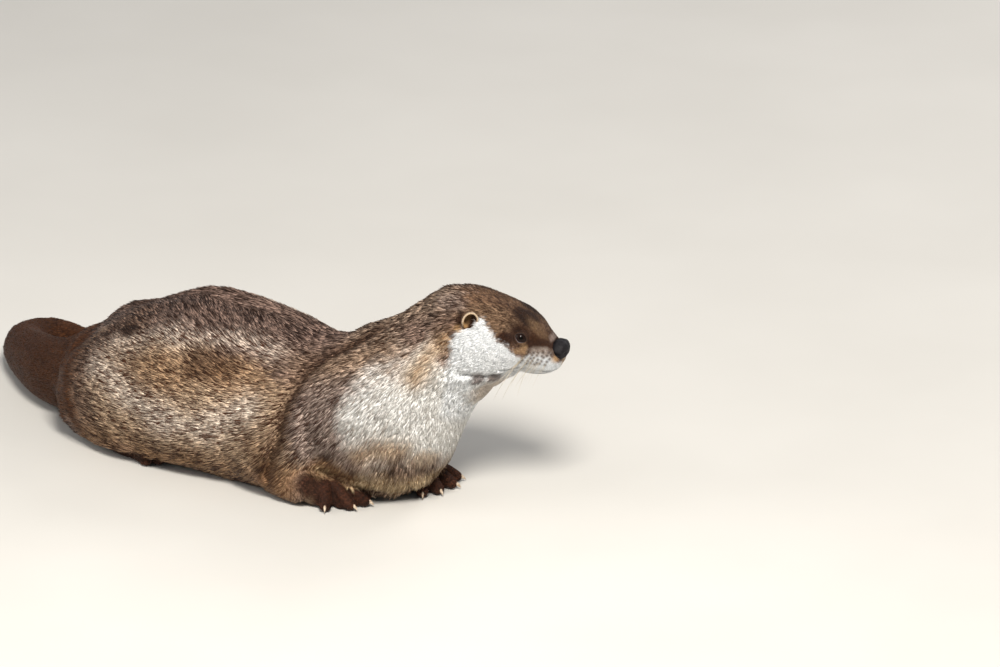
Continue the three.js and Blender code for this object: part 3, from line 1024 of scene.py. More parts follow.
@dataclass
class Lie:
    """Which way the coat lies at each point of the skin."""

    skin: Skin
    trunk_line: tuple = ("nose", "head", "neck", "chest", "trunk", "loin", "rump", *Part.TAIL.solids)
    stroke_reach_mm: float = 32.0
    # Strokes of the brush on the right side: where, in millimetres, and which way.
    strokes: tuple = (
        *(((291, -26, 166), (-0.62, -0.6, -0.51)), ((283, -30, 148), (-0.63, -0.21, -0.75))),
        *(((268, -40, 165), (-0.61, -0.28, -0.74)), ((289, 5, 199), (-0.88, -0.31, 0.36))),
        *(((258, -2, 208), (-0.94, -0.33, 0.12)), ((246, -25, 200), (-0.97, -0.14, -0.21))),
        *(((226, -57, 143), (-0.36, -0.48, -0.8)), ((226, -44, 167), (-0.85, -0.1, -0.52))),
        *(((199, -38, 167), (-0.91, -0.14, -0.38)), ((177, -55, 150), (-0.86, -0.34, -0.37))),
        *(((154, -62, 142), (-0.81, -0.44, -0.39)), ((158, -91, 108), (-0.49, -0.44, -0.75))),
        *(((130, -99, 85), (-0.56, -0.48, -0.68)), ((182, -93, 75), (-0.54, -0.04, -0.84))),
        *(((204, -77, 114), (-0.37, -0.46, -0.8)), ((223, -71, 92), (-0.19, -0.32, -0.93))),
        *(((244, -51, 129), (-0.41, -0.24, -0.88)), ((247, -34, 81), (-0.29, 0.12, -0.95))),
        *(((246, -1, 75), (-0.37, 0.37, -0.85)), ((265, -12, 107), (-0.49, 0.33, -0.81))),
        *(((121, -103, 36), (-0.62, -0.21, -0.76)), ((214, -60, 33), (-0.51, 0.41, -0.76))),
        *(((173, -81, 35), (-0.58, 0.37, -0.72)), ((98, -55, 139), (-1.0, -0.06, 0.05))),
        *(((64, -47, 144), (-0.84, 0.53, 0.15)), ((97, -85, 121), (-0.98, -0.19, 0.02))),
        *(((103, -113, 74), (-0.94, -0.32, -0.1)), ((-31, -37, 151), (-0.73, 0.66, 0.16))),
        *(((-69, -48, 143), (-0.84, 0.54, 0.06)), ((17, -39, 150), (-0.73, 0.66, 0.16))),
        *(((31, -73, 139), (-0.9, 0.33, 0.3)), ((11, -93, 127), (-0.95, 0.21, 0.23))),
        *(((3, -113, 102), (-0.99, -0.04, 0.16)), ((-74, -104, 102), (-0.98, 0.21, -0.07))),
        *(((-108, -103, 90), (-0.96, 0.26, -0.13)), ((-50, -121, 73), (-0.99, 0.14, -0.04))),
        *(((-90, -115, 43), (-0.97, 0.15, 0.19)), ((-72, -109, 19), (-0.88, -0.14, 0.46))),
        *(((-27, -121, 46), (-1.0, 0.02, 0.1)), ((29, -118, 60), (-0.99, -0.1, -0.05))),
        *(((67, -108, 25), (-0.81, 0.31, -0.5)), ((95, -112, 21), (-0.75, 0.28, -0.59))),
        *(((21, -108, 23), (-0.99, -0.04, -0.13)), ((-112, -73, 120), (-0.86, 0.52, 0.03))),
    )

    def along_line(self, points: Array, knots: Array) -> Array:
        """Finds the direction of a line of knots near each point.

        Args:
            points: Places on the skin.
            knots: Points of the line, from the front backwards.

        Returns:
            One direction for each place, blended between the stretches near it.
        """
        total = np.zeros_like(points)
        for start, end in zip(knots[:-1], knots[1:]):
            gap = gap_to(points, start, end)
            weight = 1.0 / ((gap * gap).sum(1) + 0.01**2) ** 2
            total += weight[:, None] * unit(end - start)
        return unit(total)

    def brushed(self, lie: Array, points: Array) -> Array:
        """Turns the lie the way of the brush strokes near each point.

        Args:
            lie: The lie so far.
            points: Places on the skin.

        Returns:
            The lie with the strokes in it, mirrored on the left side.
        """
        side = near_side(points)
        mirror = np.where(points[:, 1] / MM > midline_y_mm(points[:, 0] / MM), -1.0, 1.0)
        total = 0.12 * lie * np.stack([np.ones_like(mirror), mirror, np.ones_like(mirror)], 1)
        for where, way in self.strokes:
            gap = np.linalg.norm(side - np.array(where), axis=1)
            total += hump(gap, self.stroke_reach_mm)[:, None] * np.array(way)
        total[:, 1] *= mirror
        return unit(total)

    def directions(self) -> Array:
        """Works out the lie of the coat over the skin.

        Returns:
            A unit vector along the surface for each of the skin's points.
        """
        mesh = self.skin.mesh
        points, normals = points_of(mesh), normals_of(mesh)
        local = self.skin.local()
        lie = self.along_line(points, np.array([middle_of(name) for name in self.trunk_line]))
        share = smoothstep(-30.0, 5.0, local[:, 0]) * self.skin.is_head(local)
        from_nose = unit(points - middle_of("nose"))
        lie = unit(lie * (1.0 - share[:, None]) + from_nose * share[:, None])
        lie = self.brushed(lie, points)
        self.turn_feet(lie, points)
        self.turn_ears(lie, local)
        lie = unit(lie - normals * (lie * normals).sum(1, keepdims=True))
        lie = unit(spread(lie, mesh, 8))
        return unit(lie - normals * (lie * normals).sum(1, keepdims=True))

    def turn_feet(self, lie: Array, points: Array) -> None:
        """Turns the lie of the coat down the feet, towards the toes.

        Args:
            lie: The lie so far, which is changed.
            points: Places on the skin.
        """
        for side, sign in SIDES.items():
            near = (points[:, 1] - middle_of("trunk")[1]) * sign > 0.0
            for kind, leg in (("forepaw", "foreleg"), ("hind_foot", "thigh")):
                claws = [middle_of(f"claw_{kind}_{side}_{toe}") for toe in TOES]
                knots = [middle_of(f"{leg}_{side}"), middle_of(f"{kind}_{side}"), np.mean(claws, axis=0)]
                chosen = (self.skin.owner == FEET[kind].number) & near
                lie[chosen] = self.along_line(points[chosen], np.array(knots))

    def turn_ears(self, lie: Array, local: Array) -> None:
        """Points the hair of the ears outwards, away from their roots.

        Args:
            lie: The lie so far, which is changed.
            local: The skin's points in head coordinates.
        """
        for cup in self.skin.ears:
            root = np.array(cup.centre_mm)
            chosen = (self.skin.owner == Part.EAR.number) & (local[:, 1] * root[1] > 0.0)
            away = unit(local[chosen] - root + np.array(cup.opens) * 3.0)
            lie[chosen] = self.skin.head.direction(away)


# ---- markings


class Tone(Enum):
    """A colour of the coat, some with painted light or shade in it.

    Each is the dark and the light end of its hairs, how light they are on the whole, and how
    much they differ from one another. On the back, shoulders, flanks and feet the light ends
    are partly the hairs' own pale tips and partly painted sheen, glints and highlights.
    """

    # Dark brown; its light streaks are partly painted sheen on the top of the back.
    BACK = ("2a170d", "b99a8a", 0.29, 0.34)
    FLANK = ("452510", "eaccaa", 0.41, 0.36)
    # Silvery streaks, partly painted sheen on the flank.
    LIGHT_FLANK = ("5a3622", "fff0de", 0.54, 0.40)
    TAN_FLANK = ("482a16", "c6986a", 0.42, 0.32)
    DARK_FLANK = ("2a1508", "8c6544", 0.28, 0.32)
    LOW_FLANK = ("3a2112", "bb9570", 0.40, 0.32)
    SHEEN = ("2f1a10", "b8967f", 0.26, 0.32)
    RUMP_EDGE = ("2c170b", "7a4a26", 0.42, 0.18)
    # Silver-lilac, partly painted sheen.
    SHOULDER = ("453027", "cdb8ab", 0.36, 0.34)
    UPPER_SHOULDER = ("38200f", "c2a58c", 0.40, 0.34)
    NAPE = ("341c0c", "ccb29a", 0.40, 0.38)
    NECK = ("5c4636", "d8c2b0", 0.43, 0.32)
    NECK_TAN = ("8c6847", "e2c49c", 0.52, 0.22)
    PALE_BREAST = ("948a80", "f8f7f4", 0.70, 0.30)
    BREAST = ("a8a29a", "fdfcf9", 0.75, 0.24)
    BUFF = ("836650", "d2b693", 0.48, 0.20)
    LOW_BREAST = ("7c6142", "e2caa2", 0.50, 0.26)
    ELBOW = ("5e3e29", "c09a74", 0.44, 0.26)
    WHITE = ("aeb2b4", "f8f9fa", 0.84, 0.22)
    CROWN = ("38241a", "97755a", 0.42, 0.26)
    FOREHEAD = ("3f2a1c", "a5866a", 0.43, 0.30)
    BROW = ("1c0f0a", "4a3020", 0.32, 0.14)
    MASK = ("24130c", "5a3a26", 0.34, 0.14)
    MUZZLE = ("2c180e", "70492f", 0.32, 0.16)
    BRIDGE = ("503c2d", "a1815f", 0.46, 0.18)
    LILAC = ("6a574c", "c8b6ac", 0.60, 0.12)
    TEAR = ("74563b", "cfad84", 0.52, 0.16)
    RUST = ("936c40", "dfb883", 0.60, 0.10)
    PAD = ("7a6150", "efe6da", 0.66, 0.10)
    EAR_RIM = ("ab8a62", "fbead0", 0.72, 0.10)
    EAR_CUP = ("140905", "6a3f20", 0.26, 0.16)
    TAIL = ("2a1307", "704629", 0.40, 0.13)
    # Dark chocolate; its light streaks are partly painted highlights on the toes.
    FOOT = ("1a0c06", "7e4c34", 0.29, 0.22)
    FOLD = ("2a170e", "755238", 0.34, 0.22)

    def __init__(self, dark: str, light: str, mean: float, streak: float) -> None:
        """Keeps the tone as one row of eight numbers."""
        self.row = np.concatenate([hex_colour(dark), hex_colour(light), [mean, streak]])


@dataclass(frozen=True)
class Patch:
    """A soft-edged patch of one tone, turned by a pitch in degrees about its second axis."""

    tone: Tone
    centre: tuple
    half: tuple
    strength: float = 1.0
    edge: float = 0.5
    pitch: float = 0.0

    def weight(self, points: Array, ragged: Array) -> Array:
        """Finds how much of the patch shows.

        Args:
            points: Places, one row each.
            ragged: How far the edge strays at each.

        Returns:
            A share for each point.
        """
        turn = Euler((0.0, math.radians(self.pitch), 0.0)).to_matrix()
        away = (points - np.array(self.centre)) @ np.array(turn) / np.array(self.half)
        reach = np.linalg.norm(away, axis=1) + 0.09 * ragged
        return self.strength * smoothstep(1.0 + self.edge / 2, 1.0 - self.edge / 2, reach)


@dataclass(frozen=True)
class Band:
    """A soft-edged band of one tone along a bent line."""

    tone: Tone
    knots: tuple
    half: float
    strength: float = 1.0

    def weight(self, points: Array, ragged: Array) -> Array:
        """Returns how much of the band shows at each point, with a ragged edge."""
        away = distance_to_line(points, self.knots) / self.half
        return self.strength * hump(away + 0.12 * ragged, 1.0)



@dataclass
class Markings:
    """The colours of the coat, with painted light and shade among them, the same for the skin and the
    tufts.
    """

    head: HeadAxes
    # The white's upper edge on the cheek and the lip: how far forward, how far up.
    white_top_mm: tuple = (
        *((-17, -7), (-10, 0), (-2, 8), (5, 13), (12, 9), (20, 3), (26, -2), (34, -4), (40, -9)),
        *((46, -14), (51, -15.5), (55, -11.5), (60, -8), (65, -6.5), (70, -7), (75, -9), (82, -15)),
    )
    # Its rear edge: how far up, how far forward.
    white_rear_mm: tuple = ((-60, -9), (-39, -11), (-12, -15), (0, -11), (8, -1))
    # In head coordinates, for both sides of the face, under the white and over it.
    face: tuple = (
        Patch(Tone.FOREHEAD, (17, 27, 13), (26, 16, 14), 1.0, 0.6),
        Patch(Tone.FOREHEAD, (-14, 30, 14), (14, 14, 9), 0.5, 0.6),
        # Painted shadow in the hollow behind each ear.
        Patch(Tone.MASK, (-13, 34, 7), (4.5, 10, 7), 0.95, 0.6),
        Patch(Tone.MUZZLE, (62, 14, 0), (18, 16, 12), 1.0, 0.4),
        Patch(Tone.BROW, (44, 10, 19), (15, 10, 9), 1.0, 0.7, pitch=18),
        Patch(Tone.MASK, (42, 22, 6), (11, 10, 8), 0.9, 0.6),
        Patch(Tone.MASK, (33, 31, 1), (9, 8, 4.5), 1.0, 0.5, pitch=16),
        Patch(Tone.BRIDGE, (57, 11, 10), (14, 7, 4), 0.7, 1.0, pitch=30),
        Patch(Tone.MASK, (58, 21, -4), (8, 7, 7), 0.85, 0.6, pitch=-20),
        Patch(Tone.MASK, (65, 16, 0), (9, 8, 4), 0.75, 0.8),
        # Painted sheen on the top of the muzzle, behind the nose.
        Patch(Tone.LILAC, (72, 4, 4), (5, 7, 4), 0.8, 0.8),
        Patch(Tone.TEAR, (50, 26, -6), (3.4, 6, 6), 0.9, 0.9, pitch=-14),
        Patch(Tone.TEAR, (45, 28, -9), (5, 6, 3), 0.7, 0.9),
        Patch(Tone.SHOULDER, (-27, 20, 14), (15, 12, 8), 0.6, 1.0),
    )
    over_white: tuple = (
        Patch(Tone.PAD, (64, 18, -7), (12, 12, 4), 0.6, 0.8),
        Patch(Tone.RUST, (77.5, 13, -12), (4.5, 6, 3.5), 0.7, 0.9),
        Patch(Tone.RUST, (84, 0, -17), (5, 8, 4), 0.7, 0.8),
        Patch(Tone.BUFF, (32, 20, -64), (22, 24, 20), 0.6, 0.9),
        # Darker under the jaw along its crease: painted shade over fur that is darker there.
        Patch(Tone.MUZZLE, (17, 40, -43), (6.5, 9, 7), 0.7, 1.0),
        Patch(Tone.MUZZLE, (32, 33, -41), (6.5, 9, 6), 0.7, 1.0),
        # Painted shade in the crease below each ear.
        Patch(Tone.MASK, (-14.5, 36, -8), (4.5, 8, 1.8), 0.7, 0.8, pitch=35),
        Patch(Tone.RUST, (-12, 38, -1), (4, 8, 3), 0.5, 0.8),
    )
    # In the frame's axes, on the right side; the left side mirrors them.
    body: tuple = (
        Patch(Tone.FLANK, (-10, -104, 72), (190, 76, 62), 1.0, 0.35),
        # Painted sheen down the rear edge of the rump.
        Band(Tone.SHEEN, ((-84, -70, 128), (-118, -86, 104), (-132, -96, 70), (-118, -98, 40)), 26),
        Patch(Tone.TAN_FLANK, (-27, -112, 105), (40, 24, 22), 0.5, 0.9),
        Patch(Tone.TAN_FLANK, (60, -97, 112), (34, 24, 20), 0.5, 0.9),
        Band(Tone.LIGHT_FLANK, ((-104, -104, 91), (-50, -120, 73), (-14, -122, 61)), 17, 0.85),
        Band(Tone.LIGHT_FLANK, ((-14, -122, 61), (29, -118, 58), (76, -111, 87)), 18, 0.9),
        Band(Tone.LIGHT_FLANK, ((-20, -88, 132), (51, -69, 137), (80, -72, 132)), 13, 0.7),
        Band(Tone.LIGHT_FLANK, ((-95, -86, 112), (-60, -90, 118), (-30, -80, 132)), 13, 0.6),
        Patch(Tone.DARK_FLANK, (23, -99, 119), (28, 24, 16), 0.7, 0.9),
        # Painted shade along the bottom of the flank, near the floor.
        Band(Tone.LOW_FLANK, ((-118, -96, 20), (0, -112, 14), (70, -108, 12), (104, -100, 6)), 24),
        Band(Tone.TAN_FLANK, ((88, -106, 60), (92, -108, 34), (100, -104, 14)), 10, 0.8),
        # Orange-brown fur behind the haunch, darkened by painted shade.
        Band(Tone.RUMP_EDGE, ((-144, -68, 104), (-148, -88, 82), (-144, -97, 60), (-134, -100, 28)), 13),
        Patch(Tone.SHOULDER, (158, -92, 84), (46, 50, 62), 1.0, 0.5),
        Patch(Tone.NECK, (206, -62, 140), (54, 34, 30), 1.0, 0.6, pitch=20),
        Band(Tone.UPPER_SHOULDER, ((112, -78, 128), (150, -72, 134), (186, -52, 156)), 19),
        Patch(Tone.PALE_BREAST, (196, -74, 92), (34, 46, 40), 1.0, 0.7),
        Patch(Tone.BREAST, (238, -32, 96), (38, 60, 62), 1.0, 0.5, pitch=-10),
        Band(Tone.NECK_TAN, ((252, -48, 172), (240, -56, 158), (230, -62, 136)), 12, 0.95),
        Band(Tone.BUFF, ((186, -88, 58), (204, -82, 64), (222, -70, 62)), 11, 0.85),
        Patch(Tone.BUFF, (234, -48, 50), (14, 22, 10), 0.7, 0.8),
        Band(Tone.LOW_BREAST, ((150, -84, 16), (196, -64, 18), (232, -20, 18)), 20, 0.95),
        Patch(Tone.ELBOW, (150, -80, 33), (24, 26, 15), 0.95, 0.7),
        Patch(Tone.ELBOW, (112, -102, 24), (22, 20, 18), 0.75, 0.7),
        Patch(Tone.MASK, (152, -90, 50), (8, 10, 5), 0.6, 0.8),
        Patch(Tone.LOW_BREAST, (143, -86, 32), (10, 18, 7), 0.6, 1.0),
        # Orange-brown fur at the root of the tail, darkened by painted shade.
        Patch(Tone.RUMP_EDGE, (-164, -70, 60), (20, 62, 58), 0.95, 0.6),
        Band(Tone.NAPE, ((150, -34, 160), (190, -22, 182), (232, -12, 204)), 24, 0.9),
    )
    # The same, but on the right side only: a parting on the loin, and the dark wrist.
    right_only: tuple = (
        Patch(Tone.BROW, (-84, -79, 124), (11, 9, 8), 0.9, 0.8),
        Patch(Tone.FOOT, (142, -100, 24), (12, 12, 13), 0.95, 0.7),
    )

    def white(self, local: Array, ragged: Array) -> Array:
        """Finds how much of the cheek's and the throat's white shows.

        Args:
            local: Points in head coordinates.
            ragged: How far the white's edge strays at each point.

        Returns:
            A share from 0 to 1 for each point.
        """
        forward, _, upward = local.T
        top = np.interp(forward, *np.array(self.white_top_mm, float).T)
        rear = np.interp(upward, *np.array(self.white_rear_mm, float).T)
        below = smoothstep(-2.6, 2.6, top - upward - 1.5 * ragged)
        return below * smoothstep(-5.0, 5.0, forward - rear + 2.5 * ragged)

    def at(self, points: Array, shares: dict) -> Array:
        """Works out the tone at each point.

        Args:
            points: Places on the skin, in metres.
            shares: How much each is of an ear, its cup, the tail, a foot or a gap.

        Returns:
            Eight numbers for each point: the dark colour, the light one, the mean and the streak.
        """
        tone = np.tile(Tone.BACK.row, (len(points), 1))

        def lay(new: Tone, weight: Array) -> None:
            """Lays a tone over what is there."""
            tone[:] += (new.row - tone) * weight[:, None]

        local = folded(self.head.local(points))
        side = near_side(points)
        ragged = ripple(points, 9.0, 3)
        coarse = ripple(points, 46.0, 4)
        for patch in self.body:
            lay(patch.tone, patch.weight(side, 0.7 * ragged + 1.2 * coarse))
        off_middle = points[:, 1] / MM - midline_y_mm(points[:, 0] / MM)
        for patch in self.right_only:
            lay(patch.tone, patch.weight(side, ragged) * (off_middle < 0.0))
        # Painted shade in the fold behind the shoulder.
        lay(Tone.FOLD, 0.9 * hump(distance_to_line(side, Skin.shoulder_fold_mm), 10.0))
        lay(Tone.TAIL, shares["tail_share"])
        near_head = smoothstep(108.0, 92.0, np.linalg.norm(local, axis=1))
        head = smoothstep(-34.0, -8.0, local[:, 0] + 6.0 * ragged) * near_head
        lay(Tone.CROWN, head * smoothstep(-14.0, -2.0, local[:, 2]))
        for patch in self.face:
            lay(patch.tone, patch.weight(local, ragged) * near_head)
        strands = 0.5 * ragged + 0.8 * ripple(points, 3.2, 5)
        lay(Tone.WHITE, self.white(local, strands) * near_head)
        for patch in self.over_white:
            lay(patch.tone, patch.weight(local, ragged) * near_head)
        lay(Tone.MASK, 0.9 * WhiskerPads.spots(local))
        lay(Tone.FOOT, shares["foot_share"])
        # Painted shade between the toes.
        lay(Tone.BROW, 0.8 * shares["gap_share"] * shares["foot_share"])
        cup_share = shares["cup_share"]
        lay(Tone.CROWN, shares["ear_share"])
        lip = np.clip(1.3 - 1.6 * np.abs(cup_share), 0.0, 1.0)
        lay(Tone.EAR_RIM, lip * shares["ear_share"] * smoothstep(2.0, 11.0, local[:, 2]))
        # Painted shade, darker deeper in the ear's cup.
        lay(Tone.EAR_CUP, smoothstep(0.2, 0.6, cup_share))
        wall = smoothstep(0.1, 0.4, cup_share) * smoothstep(-2.0, -5.5, local[:, 0])
        lay(Tone.RUST, wall * smoothstep(1.15, 0.8, cup_share))
        return tone


# ---- trees of nodes


class Nodes:
    """A small helper that adds nodes to a tree."""

    def __init__(self, tree: bpy.types.NodeTree) -> None:
        """Keeps the tree."""
        self.tree = tree

    def node(self, kind: str, inputs: dict, **settings) -> bpy.types.NodeOutputs:
        """Adds a node.

        Args:
            kind: The node's type.
            inputs: For each input, by name or number, a value or an output to link.
            settings: The node's own properties.

        Returns:
            Its outputs.
        """
        node = self.tree.nodes.new(kind)
        for name, value in settings.items():
            setattr(node, name, value)
        for name, value in inputs.items():
            self.feed(node.inputs[name], value)
        return node.outputs

    def feed(self, socket: NodeSocket, value: object) -> None:
        """Gives an input a value, or links an output to it.

        Args:
            socket: The input.
            value: The value or the output.
        """
        if isinstance(value, NodeSocket):
            self.tree.links.new(value, socket)
        else:
            socket.default_value = value


class GeometryNodes(Nodes):
    """A Geometry Nodes tree with named inputs."""

    def __init__(self, name: str, **sizes: str) -> None:
        """Starts a tree that takes and gives geometry.

        Args:
            name: The tree's name.
            sizes: The type of each further input.
        """
        super().__init__(bpy.data.node_groups.new(name, "GeometryNodeTree"))
        new_socket = self.tree.interface.new_socket
        for way in ("INPUT", "OUTPUT"):
            new_socket("Geometry", in_out=way, socket_type="NodeSocketGeometry")
        for size, kind in sizes.items():
            new_socket(size, in_out="INPUT", socket_type="NodeSocket" + kind)
        self.start = self.node("NodeGroupInput", {})

    def attribute(self, name: str, kind: str = "FLOAT_VECTOR") -> NodeSocket:
        """Returns the output that reads a named attribute."""
        return self.node("GeometryNodeInputNamedAttribute", {"Name": name}, data_type=kind)["Attribute"]

    def random(self, low: float, high: float, seed: int) -> NodeSocket:
        """Draws a random number for each tuft.

        Args:
            low: The lowest.
            high: The highest.
            seed: Fixes the draw.

        Returns:
            The number's output.
        """
        node = self.tree.nodes.new("FunctionNodeRandomValue")
        node.data_type = "FLOAT"
        sockets = {socket.identifier: socket for socket in [*node.inputs, *node.outputs]}
        for name, value in (("Min_001", low), ("Max_001", high), ("Seed", seed)):
            sockets[name].default_value = value
        return sockets["Value_001"]

    def math(self, operation: str, *terms: NodeSocket) -> NodeSocket:
        """Returns the output of an arithmetic node."""
        return self.node("ShaderNodeMath", dict(enumerate(terms)), operation=operation)["Value"]

    def vector(self, *terms: NodeSocket) -> NodeSocket:
        """Returns the output that joins three numbers into a vector."""
        return self.node("ShaderNodeCombineXYZ", dict(enumerate(terms)))["Vector"]

    def instances(self, points: object, turn: object, scale: object) -> NodeSocket:
        """Sets the shape on points.

        Args:
            points: The points' output.
            turn: The turns' output.
            scale: The sizes' output.

        Returns:
            The output that holds the shapes, made real.
        """
        info = self.node("GeometryNodeObjectInfo", {"Object": self.start["Shape"]})
        sockets = {"Points": points, "Instance": info["Geometry"], "Rotation": turn, "Scale": scale}
        grown = self.node("GeometryNodeInstanceOnPoints", sockets)
        return self.node("GeometryNodeRealizeInstances", {"Geometry": grown["Instances"]})["Geometry"]

    def end(self, geometry: NodeSocket) -> None:
        """Gives the geometry its finish and ends the tree.

        Args:
            geometry: The output that holds it.
        """
        sockets = {"Geometry": geometry, "Material": self.start["Finish"]}
        dressed = self.node("GeometryNodeSetMaterial", sockets)
        self.node("NodeGroupOutput", {"Geometry": dressed["Geometry"]})

    def run(self, name: str, bed: Object, **values: object) -> Object:
        """Runs the tree on an object, with its inputs set by their sockets' identifiers.

        Args:
            name: Name of the result.
            bed: The object, which is used up.
            values: The value of each input.

        Returns:
            A new object that holds the result as a plain mesh.
        """
        modifier = bed.modifiers.new("grown", "NODES")
        modifier.node_group = self.tree
        for item in self.tree.interface.items_tree:
            if item.in_out == "INPUT" and item.name in values:
                modifier[item.identifier] = values[item.name]
        piece = new_object(name, evaluated(bed))
        piece.data.name = name
        bpy.data.objects.remove(bed)
        return piece


# ---- tufts of the coat


@dataclass(frozen=True)
class TuftShape:
    """One tuft: a closed sliver, widest near its root, that bends over towards the skin."""

    wide_at: float = 0.38
    wide_lift: float = 0.13
    tip_lift: float = 0.16
    root_sink: float = 0.05
    patch: float = 0.003
    corners: int = 4

    def mesh(self) -> Mesh:
        """Builds the tuft.

        Returns:
            The mesh, one unit long along X and one wide along Y.
        """
        points = [
            (0.0, 0.0, -self.root_sink),
            (self.wide_at, -0.5, self.wide_lift),
            (self.wide_at, 0.5, self.wide_lift),
            (1.0, 0.0, self.tip_lift),
        ]
        mesh = mesh_from("tuft", points, [(0, 1, 2), (1, 3, 2), (0, 3, 1), (0, 2, 3)])
        layer = mesh.uv_layers.new(name="tuft_patch")
        for loop in mesh.loops:
            along, across, _ = points[loop.vertex_index]
            layer.data[loop.index].uv = ((along - 0.5) * self.patch, across * self.patch)
        return mesh


@dataclass(frozen=True)
class Region:
    """A stretch of the coat with one spacing; it may cover only what is ahead of or behind a line."""

    name: str
    slot: str
    part: Part
    spacing_mm: float
    ahead_mm: float = -1e9
    behind_mm: float = 1e9


